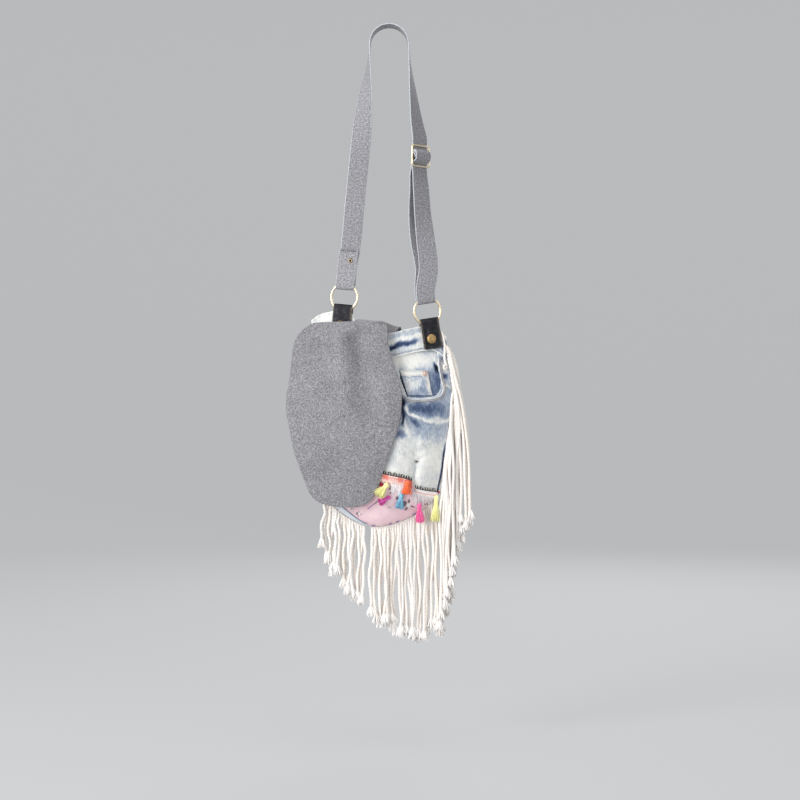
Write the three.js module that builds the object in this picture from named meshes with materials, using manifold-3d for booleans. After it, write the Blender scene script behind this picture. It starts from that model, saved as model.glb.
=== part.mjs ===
// Fringe shoulder bag: a soft pouch with a denim front, a felt back and flap, a rope fringe and a long strap.
// Millimetres, +Z up, front facing -Y. The origin is the underside of the strap where it hangs.

import * as THREE from "three";
import { mergeVertices } from "three/addons/utils/BufferGeometryUtils.js";
import Module from "manifold-3d";

const wasm = await Module();
wasm.setup();

const { lerp, clamp, smoothstep, degToRad } = THREE.MathUtils;

// Thickness of each cloth, and the clearance between neighbouring pieces
const gap = 0.3;
const felt = 2.6;
const denim = 1.8;
const bandCloth = 2.8;
const cotton = 1.5;
const leather = 2.4;
const webbing = 2.2;

// Where the pouch hangs: the mouth's height under the hang point, and how far behind the strap
const mouthDrop = 486;
const setback = 5;
const seamHalf = 3; // half of the pouch's thickness at its seam
const seamClear = 0.15; // each panel's clearance from the seam's own plane
const frontColumns = 24; // facets across the front, shared by the pieces that meet edge to edge

// Facets across and down each cloth
const facets = {
  back: { columns: 18, rows: 12 },
  waistband: { columns: frontColumns, rows: 3 },
  front: { columns: frontColumns, rows: 9 },
  pink: { columns: frontColumns, rows: 6 },
  facing: { columns: 10, rows: 8 },
  coinPocket: { columns: 6, rows: 4 },
  edgeBand: { columns: 12, rows: 2 },
  trim: { columns: 8, rows: 1 },
  flap: { columns: 12, rows: 23 },
};

// Pouch, from the rim (down 0) to the bottom seam (down 1): side seams, bulge and how full its section is
const pouchRows = [
  { down: 0, left: -117, right: 93, front: 20, back: 16, full: 1.4 },
  { down: 0.12, left: -118, right: 95, front: 21, back: 17, full: 1.3 },
  { down: 0.28, left: -120, right: 99, front: 29, back: 23, full: 1.0 },
  { down: 0.42, left: -121, right: 102, front: 34, back: 27, full: 0.85 },
  { down: 0.58, left: -121, right: 97, front: 37, back: 29, full: 0.8 },
  { down: 0.72, left: -118, right: 92, front: 36, back: 28, full: 0.8 },
  { down: 0.84, left: -113, right: 88, front: 30, back: 23, full: 0.8 },
  { down: 0.93, left: -108, right: 83, front: 20, back: 15, full: 0.8 },
  { down: 0.98, left: -105, right: 80, front: 10, back: 7, full: 0.8 },
  { down: 1, left: -104, right: 79, front: 0, back: 0, full: 0.8 },
];

// Heights of the front rim, the back rim and the bottom seam, from the left seam (across 0) to the right (1)
const rimRows = [
  { across: 0, front: 6, back: 6, bottom: -272 },
  { across: 0.1, front: 14, back: 15, bottom: -293 },
  { across: 0.19, front: 20, back: 23, bottom: -306 },
  { across: 0.265, front: 19, back: 19, bottom: -314 },
  { across: 0.295, front: 10, back: 10, bottom: -317 },
  { across: 0.33, front: 1, back: 1, bottom: -320 },
  { across: 0.45, front: -8, back: -6, bottom: -324 },
  { across: 0.57, front: -11, back: -7, bottom: -321 },
  { across: 0.7, front: -5, back: -7, bottom: -313 },
  { across: 0.81, front: 0, back: -6, bottom: -303 },
  { across: 0.88, front: 1, back: -6, bottom: -294 },
  { across: 0.95, front: -6, back: -9, bottom: -283 },
  { across: 1, front: -16, back: -16, bottom: -270 },
];

// Waistband and the hem of the denim, which steps down to the right of a small rip
const waistbandDepth = 38;
const hemLevel = 0.78; // how far down the pouch the hem lies
const hemRows = [
  { x: -122, z: -214 },
  { x: -60, z: -224 },
  { x: -6, z: -236 },
  { x: 34, z: -248 },
  { x: 41, z: -258 },
  { x: 90, z: -263 },
];

// Folds of the soft front: ridges (high above 0) and valleys along a line, with their half-width
const foldRows = [
  { fromX: 16, fromZ: -133, toX: 68, toZ: -154, wide: 9, high: 3 },
  { fromX: 20, fromZ: -154, toX: 84, toZ: -178, wide: 10, high: -3 },
  { fromX: 46, fromZ: -204, toX: 37, toZ: -262, wide: 8, high: -5 },
  { fromX: 8, fromZ: -232, toX: 22, toZ: -176, wide: 12, high: 2.5 },
  { fromX: 66, fromZ: -250, toX: 62, toZ: -190, wide: 13, high: 2.5 },
];

// Flap, row by row from its seam on the back, over the mouth and down the front
const flapRows = [
  { z: -27, left: -30, right: 20, yLeft: 21.7, yMiddle: 22.1, yRight: 21.7 },
  { z: -6, left: -30, right: 20, yLeft: 20.4, yMiddle: 20.8, yRight: 20.4 },
  { z: 2, left: -31, right: 19, yLeft: 19.5, yMiddle: 19.5, yRight: 19.5 },
  { z: 7, left: -34, right: 16, yLeft: 13, yMiddle: 13, yRight: 13 },
  { z: 9.5, left: -39, right: 11, yLeft: 2, yMiddle: 2, yRight: 2 },
  { z: 10.5, left: -45, right: 5, yLeft: -11, yMiddle: -11, yRight: -11 },
  { z: 10.5, left: -50, right: -1, yLeft: -23, yMiddle: -23.5, yRight: -24 },
  { z: 8.5, left: -56, right: -4, yLeft: -28, yMiddle: -29.5, yRight: -30 },
  { z: 5, left: -121, right: -4, yLeft: -20, yMiddle: -29, yRight: -32 },
  { z: -2, left: -134, right: -2, yLeft: -19, yMiddle: -29.5, yRight: -33 },
  { z: -12, left: -145, right: -2, yLeft: -19, yMiddle: -30.5, yRight: -33.5 },
  { z: -28, left: -153, right: -1, yLeft: -19, yMiddle: -32, yRight: -34.5 },
  { z: -52, left: -157, right: 5, yLeft: -19, yMiddle: -35, yRight: -37 },
  { z: -82, left: -160, right: 14, yLeft: -20, yMiddle: -38.5, yRight: -41 },
  { z: -110, left: -165, right: 21, yLeft: -20, yMiddle: -41, yRight: -44 },
  { z: -134, left: -166, right: 20, yLeft: -20, yMiddle: -42, yRight: -45.5 },
  { z: -162, left: -161, right: 15, yLeft: -20, yMiddle: -42.5, yRight: -46 },
  { z: -198, left: -154, right: 3, yLeft: -21, yMiddle: -42, yRight: -45.5 },
  { z: -230, left: -143, right: -8, yLeft: -22, yMiddle: -40.5, yRight: -44 },
  { z: -254, left: -134, right: -17, yLeft: -23, yMiddle: -38, yRight: -41.5 },
  { z: -271, left: -126, right: -24, yLeft: -24, yMiddle: -36, yRight: -39 },
  { z: -281, left: -116, right: -31, yLeft: -26, yMiddle: -35, yRight: -38 },
  { z: -287, left: -102, right: -42, yLeft: -29, yMiddle: -34.5, yRight: -36.5 },
  { z: -290, left: -82, right: -58, yLeft: -32, yMiddle: -34, yRight: -35 },
];
const neckRows = 8; // rows of the neck, from the seam to the shoulder; the rest are the apron
const flapDent = { x: -60, wide: 17, deep: 5, from: 20, to: -170 }; // soft upright valley in the flap

// Pocket mouth, as the outline of what is scooped out of the front, and the coin pocket in it
const pocketMouth = [
  { x: 6, z: -20 },
  { x: 78, z: -20 },
  { x: 79, z: -60 },
  { x: 84, z: -84 },
  { x: 85, z: -101 },
  { x: 77, z: -113 },
  { x: 55, z: -117 },
  { x: 28, z: -115 },
  { x: 17, z: -86 },
];
const cutterDepth = 80; // reaches through the front at its fullest
const facing = { left: -4, right: 91, top: -39, bottom: -121, sunk: 0.8 };
const coinPocket = { topLeft: 19, topRight: 63, lowLeft: 30, lowRight: 70, top: -77, bottom: -110 };
const coinRivet = { x: 58, z: -80.5, radius: 4.6, high: 2.2, sides: 12 };
// Domed cap of a stud or rivet, from its flat face to its top, as shares of its radius and height
const capRows = [
  { radius: 0, high: 0 },
  { radius: 1, high: 0 },
  { radius: 1, high: 0.25 },
  { radius: 0.8, high: 0.7 },
  { radius: 0.4, high: 0.95 },
  { radius: 0, high: 1 },
];

// Trim under the two hems
const laceDepth = 5;
const laceThick = 1.2;
const ribbonDepth = 11;
const ribbonThick = 1.4;
const trimLift = 0.9; // trim lies loose on the cloth
const trimRuns = [
  { side: "left", from: -24, to: 33 },
  { side: "right", from: 42, to: 79 },
];

// Small tassels: where each hangs, how it leans across and forward, and its size
const tassels = [
  { name: "yellow", colour: 0xf6f4a8, x: -2, z: -252, proud: 2, lean: 38, tip: 18, long: 27, wide: 7.5 },
  { name: "magenta", colour: 0xcf5fa3, x: 2, z: -270, proud: 1.9, lean: 62, tip: 10, long: 21, wide: 5.5 },
  { name: "orange", colour: 0xf58a62, x: 27, z: -251, proud: 5, lean: 0, tip: 0, long: 21, wide: 7 },
  { name: "blue", colour: 0x86bcd6, x: 20, z: -267, proud: 2.1, lean: 10, tip: 0, long: 26, wide: 6 },
  { name: "pink", colour: 0xfa74ae, x: 48, z: -283, proud: 1.25, lean: -2, tip: 8, long: 34, wide: 6.5 },
  { name: "lemon", colour: 0xf9f8bd, x: 75, z: -272, proud: 3.7, lean: 4, tip: 8, long: 42, wide: 6 },
];
const tasselShape = { sides: 10, flat: 0.62, flute: 0.72, fluteFrom: 0.3, fluteTo: 0.6 };
const tasselRows = [
  { along: 0, radius: 0.25 },
  { along: 0.08, radius: 0.6 },
  { along: 0.2, radius: 0.55 },
  { along: 0.3, radius: 0.42 },
  { along: 0.5, radius: 0.72 },
  { along: 0.8, radius: 0.95 },
  { along: 1, radius: 1 },
];

// Band along the lower left edge, widest at its upper end
const edgeBand = { wideStart: 24, wideEnd: 3, inset: 4, from: 0.015, to: 0.375 };

// Rings, and the tabs that hang from them, placed by the stud on the waistband
const ring = { radius: 22, wire: 1.9, sides: 6, steps: 28, play: 1 };
const tab = { wide: 29, aboveStud: 30, belowStud: 18, half: 2.5, bendSteps: 8 };
const stud = { radius: 7.6, high: 3, sides: 14 };
const hangers = {
  left: { x: -76, z: 6, lean: 5.7 },
  right: { x: 68, z: -16, lean: -9 },
};

// Strap: its round top, then each leg as height, place, turn about the upright and width
const strapWide = 32;
const strapAtRing = 28;
const hangRadius = 30;
const leftLeg = [
  { z: -366, x: -63.2, y: -3, turn: -3 },
  { z: -290, x: -55.8, y: -1, turn: 0 },
  { z: -205, x: -47.4, y: 0, turn: 0 },
  { z: -150, x: -42, y: 0, turn: -22 },
  { z: -100, x: -37, y: 0, turn: -55 },
  { z: -60, x: -33, y: 0, turn: -80 },
];
const rightLegHigh = [
  { z: -60, x: 33.5, y: 0, turn: 85 },
  { z: -110, x: 39, y: 0, turn: 72 },
  { z: -160, x: 45.5, y: 0, turn: 58 },
];
const rightLegLow = [
  { z: -262, x: 51.5, y: -1, turn: 46 },
  { z: -300, x: 53, y: -2, turn: 32 },
  { z: -345, x: 58, y: -3, turn: 20 },
  { z: -393, x: 62, y: -4, turn: 15 },
];
const returnLeg = [
  { z: -393, x: 57.5, y: 4, turn: 15 },
  { z: -345, x: 49, y: 10, turn: 20 },
  { z: -300, x: 45, y: 11, turn: 32 },
  { z: -262, x: 46, y: 8, turn: 46 },
];
const layerStep = webbing / 2 + gap / 2; // each layer's distance from the middle of a doubled strap
const foldRadius = ring.wire + gap + webbing / 2; // the strap's middle line round the ring's wire
const foldSteps = 6;
const topSteps = 12;
// Doubled end of the left leg, from its cut edge down to the ring: height over the ring's middle
const doubledRows = [
  { up: 73, off: layerStep, wide: 31 },
  { up: 50, off: layerStep, wide: 31 },
  { up: 36, off: layerStep + 0.4, wide: 30 },
  { up: 25, off: foldRadius, wide: 29 },
];
const rightFold = { up: 26, wide: 29, ease: 0.6 };
const sliderPlace = { x: 51, z: -210, turn: 51 };
const slider = { wide: 40, high: 36, rod: 3, barPitch: 16, corner: 4, windowCorner: 1.5 };
// Strap in the slider, as heights from its middle bar: clear of the frame, over the bar, and the wrapped end
const threading = { clear: 26, over: 5, enter: 7, cut: 3, ease: 0.6, slack: 5, wrapSteps: 6 };
const eyelet = { up: 57, across: 4, outer: 3.7, bore: 1.7, high: 1, lip: 0.8, sides: 14 };

// Rope fringe: locks of two or three cords, hung from a head in the seam
const head = { radius: 2.2, clear: 0.8, middleClear: -0.5 };
const lockWide = 5.4;
const lockDeep = 4.2;
const lockSides = 5;
const lockRings = [
  { along: 0, size: 0.5 },
  { along: 0.1, size: 0.85 },
  { along: 0.45, size: 1 },
  { along: 0.88, size: 1 },
  { along: 1, size: 1.12 },
];
const rightLocks = { count: 9, from: 0.07, to: 0.9, bow: 16, stagger: 1.5, steps: 12 };
const rightEnds = { xFirst: 130, xLast: 94, zFirst: -298, zLast: -448 };
const middleLocks = { count: 11, from: 0.972, to: 0.42, bow: 0, stagger: 2, steps: 12 };
const leftLocks = { count: 8, from: 0.33, to: 0.76, bow: -2, stagger: 2, drift: 2 };
// Left locks: the share of them on the bottom seam, where those end and where the ones on the side start
const leftCorner = { share: 0.8, bottomEnd: 0.02, sideStart: 0.97, near: 0.012 };
const leftHeadSteps = { bottom: 9, side: 6 };
// A lock's path: it leaves the seam sideways by its bow, then falls to its end
const lockPath = { leaveAt: 0.12, fallAt: 0.6, fallAcross: 0.9, fallBow: 0.2 };
// Lowest points of the bottom fringe, from left to right
const fringeEnds = [
  { x: -112, z: -342 },
  { x: -101, z: -382 },
  { x: -92, z: -404 },
  { x: -80, z: -396 },
  { x: -68, z: -434 },
  { x: -54, z: -448 },
  { x: -38, z: -454 },
  { x: -26, z: -476 },
  { x: 0, z: -486 },
  { x: 24, z: -500 },
  { x: 38, z: -508 },
  { x: 58, z: -501 },
  { x: 76, z: -490 },
  { x: 84, z: -470 },
];

// A table's column as a smooth curve of its first column that never overshoots its rows
function curveOf(rows, key, column) {
  const at = rows.map((row) => row[key]);
  const value = rows.map((row) => row[column]);
  const step = value.slice(1).map((next, i) => (next - value[i]) / (at[i + 1] - at[i]));
  const slope = value.map((_, i) => {
    const before = step[Math.max(i - 1, 0)];
    const after = step[Math.min(i, step.length - 1)];
    return before * after <= 0 ? 0 : (2 * before * after) / (before + after);
  });
  return (place) => {
    const x = clamp(place, at[0], at[at.length - 1]);
    let i = 0;
    while (i < step.length - 1 && x > at[i + 1]) i++;
    const width = at[i + 1] - at[i];
    const t = (x - at[i]) / width;
    const rest = 1 - t;
    const start = value[i] * (1 + 2 * t) + slope[i] * width * t;
    const end = value[i + 1] * (3 - 2 * t) - slope[i + 1] * width * rest;
    return start * rest * rest + end * t * t;
  };
}

const seamLeft = curveOf(pouchRows, "down", "left");
const seamRight = curveOf(pouchRows, "down", "right");
const bulge = {
  front: curveOf(pouchRows, "down", "front"),
  back: curveOf(pouchRows, "down", "back"),
};
const fullness = curveOf(pouchRows, "down", "full");
const rim = {
  front: curveOf(rimRows, "across", "front"),
  back: curveOf(rimRows, "across", "back"),
};
const bottomSeam = curveOf(rimRows, "across", "bottom");
const hem = curveOf(hemRows, "x", "z");
const fringeEnd = curveOf(fringeEnds, "x", "z");

// Height of the folds at a place of the front view: each fades off sideways and towards its ends
function foldHeight(x, z) {
  let height = 0;
  for (const fold of foldRows) {
    const from = new THREE.Vector2(fold.fromX, fold.fromZ);
    const line = new THREE.Vector2(fold.toX, fold.toZ).sub(from);
    const along = clamp(new THREE.Vector2(x, z).sub(from).dot(line) / line.lengthSq(), 0, 1);
    const away = Math.hypot(x - from.x - line.x * along, z - from.y - line.y * along);
    height += fold.high * Math.exp(-Math.pow(away / fold.wide, 2));
  }
  return height;
}

// A point of the pouch: across runs from the left seam to the right, down from the rim to the bottom
function pouchPoint(side, across, down) {
  const away = side === "front" ? -1 : 1;
  const round = Math.pow(Math.sin(Math.PI * clamp(across, 0, 1)), fullness(down));
  const x = lerp(seamLeft(down), seamRight(down), across);
  const z = lerp(rim[side](across), bottomSeam(across), down);
  const fold = side === "front" ? foldHeight(x, z) * round : 0;
  return new THREE.Vector3(x, away * (seamHalf + bulge[side](down) * round + fold), z);
}

// The same point moved out of the cloth by lift, but never over the seam's plane
function pouchLift(side, across, down, lift) {
  const reach = 0.004;
  const low = Math.max(across - reach, 0.001);
  const high = Math.min(across + reach, 0.999);
  const upper = Math.max(down - reach, 0);
  const lower = Math.min(down + reach, 0.999);
  const sideways = pouchPoint(side, high, down).sub(pouchPoint(side, low, down));
  const downwards = pouchPoint(side, across, lower).sub(pouchPoint(side, across, upper));
  const normal = downwards.cross(sideways).normalize();
  if (side === "back") normal.negate();
  const point = pouchPoint(side, across, down).addScaledVector(normal, lift);
  point.y = side === "front" ? Math.min(point.y, -seamClear) : Math.max(point.y, seamClear);
  return point;
}

// Where the front has a given place in the front view
function frontPlace(x, z) {
  let down = 0.5;
  let across = 0.5;
  for (let pass = 0; pass < 20; pass++) {
    across = clamp((x - seamLeft(down)) / (seamRight(down) - seamLeft(down)), 0, 1);
    down = clamp((rim.front(across) - z) / (rim.front(across) - bottomSeam(across)), 0, 1);
  }
  return { across, down };
}
function onFront(x, z, lift) {
  const { across, down } = frontPlace(x, z);
  return pouchLift("front", across, down, lift);
}

// A closed wall from a rule for its inner face (0) and outer face (1)
function wall(pointAt, { columns, rows }) {
  const positions = [];
  const triangles = [];
  const corner = (face, i, j) => (face * (rows + 1) + j) * (columns + 1) + i;
  for (const face of [0, 1]) {
    for (let j = 0; j <= rows; j++) {
      for (let i = 0; i <= columns; i++) {
        const point = pointAt(i / columns, j / rows, face);
        positions.push(point.x, point.y, point.z);
      }
    }
  }
  const quad = (a, b, c, d) => triangles.push(a, b, c, a, c, d);
  for (let j = 0; j < rows; j++) {
    for (let i = 0; i < columns; i++) {
      quad(corner(1, i, j), corner(1, i, j + 1), corner(1, i + 1, j + 1), corner(1, i + 1, j));
      quad(corner(0, i, j), corner(0, i + 1, j), corner(0, i + 1, j + 1), corner(0, i, j + 1));
    }
  }
  const last = { i: columns, j: rows };
  for (let i = 0; i < columns; i++) {
    quad(corner(1, i, 0), corner(1, i + 1, 0), corner(0, i + 1, 0), corner(0, i, 0));
    quad(corner(1, i + 1, last.j), corner(1, i, last.j), corner(0, i, last.j), corner(0, i + 1, last.j));
  }
  for (let j = 0; j < rows; j++) {
    quad(corner(1, 0, j + 1), corner(1, 0, j), corner(0, 0, j), corner(0, 0, j + 1));
    quad(corner(1, last.i, j), corner(1, last.i, j + 1), corner(0, last.i, j + 1), corner(0, last.i, j));
  }
  return facingOut(positions, triangles);
}

// A closed skin over a row of rings of points, with a fan on each end
function loft(rings) {
  const count = rings[0].length;
  const positions = rings.flat().flatMap((point) => [point.x, point.y, point.z]);
  const triangles = [];
  for (let j = 0; j < rings.length - 1; j++) {
    for (let i = 0; i < count; i++) {
      const next = (i + 1) % count;
      const [a, b] = [j * count + i, j * count + next];
      triangles.push(a, b, b + count, a, b + count, a + count);
    }
  }
  const caps = [
    { ring: 0, turned: true },
    { ring: rings.length - 1, turned: false },
  ];
  for (const cap of caps) {
    const middle = positions.length / 3;
    const centre = rings[cap.ring].reduce((sum, point) => sum.add(point), new THREE.Vector3());
    centre.divideScalar(count);
    positions.push(centre.x, centre.y, centre.z);
    for (let i = 0; i < count; i++) {
      const a = cap.ring * count + i;
      const b = cap.ring * count + ((i + 1) % count);
      triangles.push(...(cap.turned ? [middle, b, a] : [middle, a, b]));
    }
  }
  return facingOut(positions, triangles);
}

// Six times the volume is the sum of each triangle's triple product, so its sign tells which way faces point
function facingOut(positions, triangles) {
  const point = (index) => new THREE.Vector3().fromArray(positions, index * 3);
  let volume = 0;
  for (let k = 0; k < triangles.length; k += 3) {
    const [a, b, c] = [point(triangles[k]), point(triangles[k + 1]), point(triangles[k + 2])];
    volume += a.dot(b.cross(c));
  }
  if (volume < 0) triangles.reverse();
  const geometry = new THREE.BufferGeometry();
  geometry.setAttribute("position", new THREE.Float32BufferAttribute(positions, 3));
  geometry.setIndex(triangles);
  return geometry;
}

// Joining and cutting of closed meshes
function solidOf(geometry) {
  const bare = geometry.clone();
  bare.deleteAttribute("normal");
  bare.deleteAttribute("uv");
  const merged = mergeVertices(bare, 1e-4);
  const vertProperties = new Float32Array(merged.getAttribute("position").array);
  const triVerts = new Uint32Array(merged.index.array);
  return new wasm.Manifold(new wasm.Mesh({ numProp: 3, vertProperties, triVerts }));
}
function geometryOf(solid) {
  const mesh = solid.getMesh();
  const geometry = new THREE.BufferGeometry();
  geometry.setAttribute("position", new THREE.Float32BufferAttribute(mesh.vertProperties, 3));
  geometry.setIndex(Array.from(mesh.triVerts));
  return geometry;
}
function joined(geometries) {
  return geometryOf(geometries.map(solidOf).reduce((all, next) => all.add(next)));
}

const bag = new THREE.Group();
bag.name = "fringe_shoulder_bag";
const pouch = new THREE.Group();
pouch.position.set(0, setback, -mouthDrop);
bag.add(pouch);

const finishes = {
  felt: { color: 0x9a979d, roughness: 0.95, metalness: 0 },
  webbing: { color: 0x9f9da4, roughness: 0.95, metalness: 0 },
  denim: { color: 0xb4bcc6, roughness: 0.9, metalness: 0 },
  paleDenim: { color: 0xd5d9dc, roughness: 0.9, metalness: 0 },
  pink: { color: 0xecc6cf, roughness: 0.85, metalness: 0 },
  band: { color: 0xb9bcc4, roughness: 0.9, metalness: 0 },
  rope: { color: 0xe6dccf, roughness: 0.9, metalness: 0 },
  leather: { color: 0x303034, roughness: 0.55, metalness: 0 },
  gold: { color: 0xd8bd92, roughness: 0.25, metalness: 1 },
  brass: { color: 0xb18856, roughness: 0.35, metalness: 1 },
  copper: { color: 0xb98878, roughness: 0.35, metalness: 1 },
  lace: { color: 0x232226, roughness: 0.8, metalness: 0 },
  coral: { color: 0xf0a58f, roughness: 0.8, metalness: 0 },
  white: { color: 0xf3ebe6, roughness: 0.8, metalness: 0 },
};

function piece(name, geometry, finish, parent = pouch) {
  const mesh = new THREE.Mesh(geometry, new THREE.MeshStandardMaterial(finish));
  mesh.name = name;
  parent.add(mesh);
  return mesh;
}

// Back of the pouch
piece(
  "back_panel",
  wall((across, down, face) => pouchLift("back", across, down, face ? 0 : -felt), facets.back),
  finishes.felt,
);

// Waistband: the front rim's band, half sunk in the line of the front
const bandDown = (across) => waistbandDepth / (rim.front(across) - bottomSeam(across));
piece(
  "waistband",
  wall(
    (across, down, face) => {
      const lift = face ? bandCloth / 2 : -bandCloth / 2;
      return pouchLift("front", across, down * bandDown(across), lift);
    },
    facets.waistband,
  ),
  finishes.paleDenim,
);

// Denim front from the waistband to the hem, with the pocket mouth scooped out
const hemDown = (across) => {
  const x = lerp(seamLeft(hemLevel), seamRight(hemLevel), across);
  return (rim.front(across) - hem(x)) / (rim.front(across) - bottomSeam(across));
};
const downStep = (across, size) => size / (rim.front(across) - bottomSeam(across));
const wholeFront = wall(
  (across, along, face) => {
    const down = lerp(bandDown(across) + downStep(across, gap), hemDown(across), along);
    return pouchLift("front", across, down, face ? 0 : -denim);
  },
  facets.front,
);
const mouthShape = new THREE.Shape(pocketMouth.map((corner) => new THREE.Vector2(corner.x, corner.z)));
const mouthCutter = new THREE.ExtrudeGeometry(mouthShape, { depth: cutterDepth, bevelEnabled: false });
mouthCutter.rotateX(Math.PI / 2);
const frontWithMouth = geometryOf(solidOf(wholeFront).subtract(solidOf(mouthCutter)));
piece("front_panel", frontWithMouth, finishes.denim);

piece(
  "pocket_facing",
  wall(
    (across, along, face) => {
      const x = lerp(facing.left, facing.right, across);
      const z = lerp(facing.top, facing.bottom, along);
      return onFront(x, z, -denim - facing.sunk - (face ? 0 : cotton));
    },
    facets.facing,
  ),
  finishes.denim,
);
piece(
  "coin_pocket",
  wall(
    (across, along, face) => {
      const left = lerp(coinPocket.topLeft, coinPocket.lowLeft, along);
      const right = lerp(coinPocket.topRight, coinPocket.lowRight, along);
      const z = lerp(coinPocket.top, coinPocket.bottom, along);
      return onFront(lerp(left, right, across), z, face ? 0 : -denim - facing.sunk + gap);
    },
    facets.coinPocket,
  ),
  finishes.denim,
);

// A low round cap, its flat face on y 0 and its dome towards -Y
function cap({ radius, high, sides }) {
  const profile = capRows.map((row) => new THREE.Vector2(row.radius * radius, row.high * high));
  return new THREE.LatheGeometry(profile, sides).rotateX(Math.PI);
}
const rivet = piece("coin_rivet", cap(coinRivet), finishes.copper);
rivet.position.copy(onFront(coinRivet.x, coinRivet.z, 2 * gap));
const rivetOut = onFront(coinRivet.x, coinRivet.z, 1).sub(onFront(coinRivet.x, coinRivet.z, 0));
rivet.quaternion.setFromUnitVectors(new THREE.Vector3(0, -1, 0), rivetOut.normalize());

// Turn of the front about the upright at a place of the front view
function frontYaw(x, z) {
  const reach = 0.03;
  const { across, down } = frontPlace(x, z);
  const ahead = pouchPoint("front", across + reach, down);
  const behind = pouchPoint("front", across - reach, down);
  return Math.atan2(ahead.y - behind.y, ahead.x - behind.x);
}
function setUpright(object, yaw, lean) {
  object.rotation.set(0, lean, yaw, "ZYX");
}

// Pink bottom of the front, under the hem
piece(
  "pink_panel",
  wall(
    (across, along, face) => {
      const down = lerp(hemDown(across) + downStep(across, gap), 1, along);
      return pouchLift("front", across, down, face ? 0 : -cotton);
    },
    facets.pink,
  ),
  finishes.pink,
);

// Grey-blue band on the lower left edge, measured in from the bottom seam
piece(
  "edge_band",
  wall(
    (along, inward, face) => {
      const across = lerp(edgeBand.from, edgeBand.to, along);
      const wide = lerp(edgeBand.wideStart, edgeBand.wideEnd, Math.sqrt(along));
      const down = 1 - downStep(across, edgeBand.inset + wide * (1 - inward));
      return pouchLift("front", across, down, face ? gap + cotton : gap);
    },
    facets.edgeBand,
  ),
  finishes.band,
);

// Black stitched edge on each hem and the ribbon under it
for (const run of trimRuns) {
  const strip = (top, bottom, thick) =>
    wall((along, drop, face) => {
      const x = lerp(run.from, run.to, along);
      return onFront(x, hem(x) + lerp(top, bottom, drop), trimLift + (face ? thick : 0));
    }, facets.trim);
  piece(`lace_${run.side}`, strip(laceDepth, -gap, laceThick), finishes.lace);
  const ribbonFinish = run.side === "left" ? finishes.coral : finishes.white;
  piece(`ribbon_${run.side}`, strip(-2 * gap, -ribbonDepth, ribbonThick), ribbonFinish);
}

// Small tassels: a bound head and a fluted skirt
for (const hanging of tassels) {
  const { sides, flat, flute, fluteFrom, fluteTo } = tasselShape;
  const rings = tasselRows.map((row) => {
    const ringPoints = [];
    for (let i = 0; i < sides; i++) {
      const drawnIn = i % 2 ? 1 : lerp(1, flute, smoothstep(row.along, fluteFrom, fluteTo));
      const angle = (2 * Math.PI * i) / sides;
      const radius = row.radius * hanging.wide * drawnIn;
      const z = -row.along * hanging.long;
      ringPoints.push(new THREE.Vector3(radius * Math.cos(angle), flat * radius * Math.sin(angle), z));
    }
    return ringPoints;
  });
  const tassel = piece(`tassel_${hanging.name}`, loft(rings), {
    color: hanging.colour,
    roughness: 0.85,
    metalness: 0,
  });
  tassel.position.copy(onFront(hanging.x, hanging.z, hanging.proud));
  tassel.rotation.set(degToRad(-hanging.tip), degToRad(hanging.lean), 0, "YXZ");
}

// Flap: each row is bent between its left edge, middle and right edge
const flapColumns = ["z", "left", "right", "yLeft", "yMiddle", "yRight"];
const flapSteps = flapRows.map((row, step) => ({ ...row, step }));
const flapCurves = Object.fromEntries(
  flapColumns.map((column) => [column, curveOf(flapSteps, "step", column)]),
);
function flapPoint(across, along) {
  const step = along * (flapRows.length - 1);
  const row = Object.fromEntries(flapColumns.map((column) => [column, flapCurves[column](step)]));
  const x = lerp(row.left, row.right, across);
  const bend = 4 * across * (1 - across);
  const middleLift = row.yMiddle - (row.yLeft + row.yRight) / 2;
  const onApron = step > neckRows - 1 ? 1 : 0;
  const fade = smoothstep(row.z, flapDent.to, flapDent.from) * onApron;
  const dent = flapDent.deep * Math.exp(-Math.pow((x - flapDent.x) / flapDent.wide, 2)) * fade;
  return new THREE.Vector3(x, lerp(row.yLeft, row.yRight, across) + middleLift * bend + dent, row.z);
}
function flapLift(across, along, lift) {
  const reach = 0.004;
  const [low, high] = [Math.max(across - reach, 0), Math.min(across + reach, 1)];
  const [upper, lower] = [Math.max(along - reach, 0), Math.min(along + reach, 1)];
  const sideways = flapPoint(high, along).sub(flapPoint(low, along));
  const downwards = flapPoint(across, lower).sub(flapPoint(across, upper));
  const normal = downwards.cross(sideways).normalize();
  return flapPoint(across, along).addScaledVector(normal, lift);
}
piece(
  "flap",
  wall((across, along, face) => flapLift(across, along, face ? felt / 2 : -felt / 2), facets.flap),
  finishes.felt,
);

// A flat band carried along stations, each a point, the direction across it and its width
function band(stations, thick) {
  const rings = stations.map((station, i) => {
    const before = stations[Math.max(i - 1, 0)].point;
    const after = stations[Math.min(i + 1, stations.length - 1)].point;
    const along = after.clone().sub(before).normalize();
    const out = along.clone().cross(station.across).normalize();
    const across = out.clone().cross(along).normalize();
    const corner = (side, face) =>
      station.point
        .clone()
        .addScaledVector(across, (side * station.wide) / 2)
        .addScaledVector(out, (face * thick) / 2);
    return [corner(-1, -1), corner(1, -1), corner(1, 1), corner(-1, 1)];
  });
  return loft(rings);
}

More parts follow.
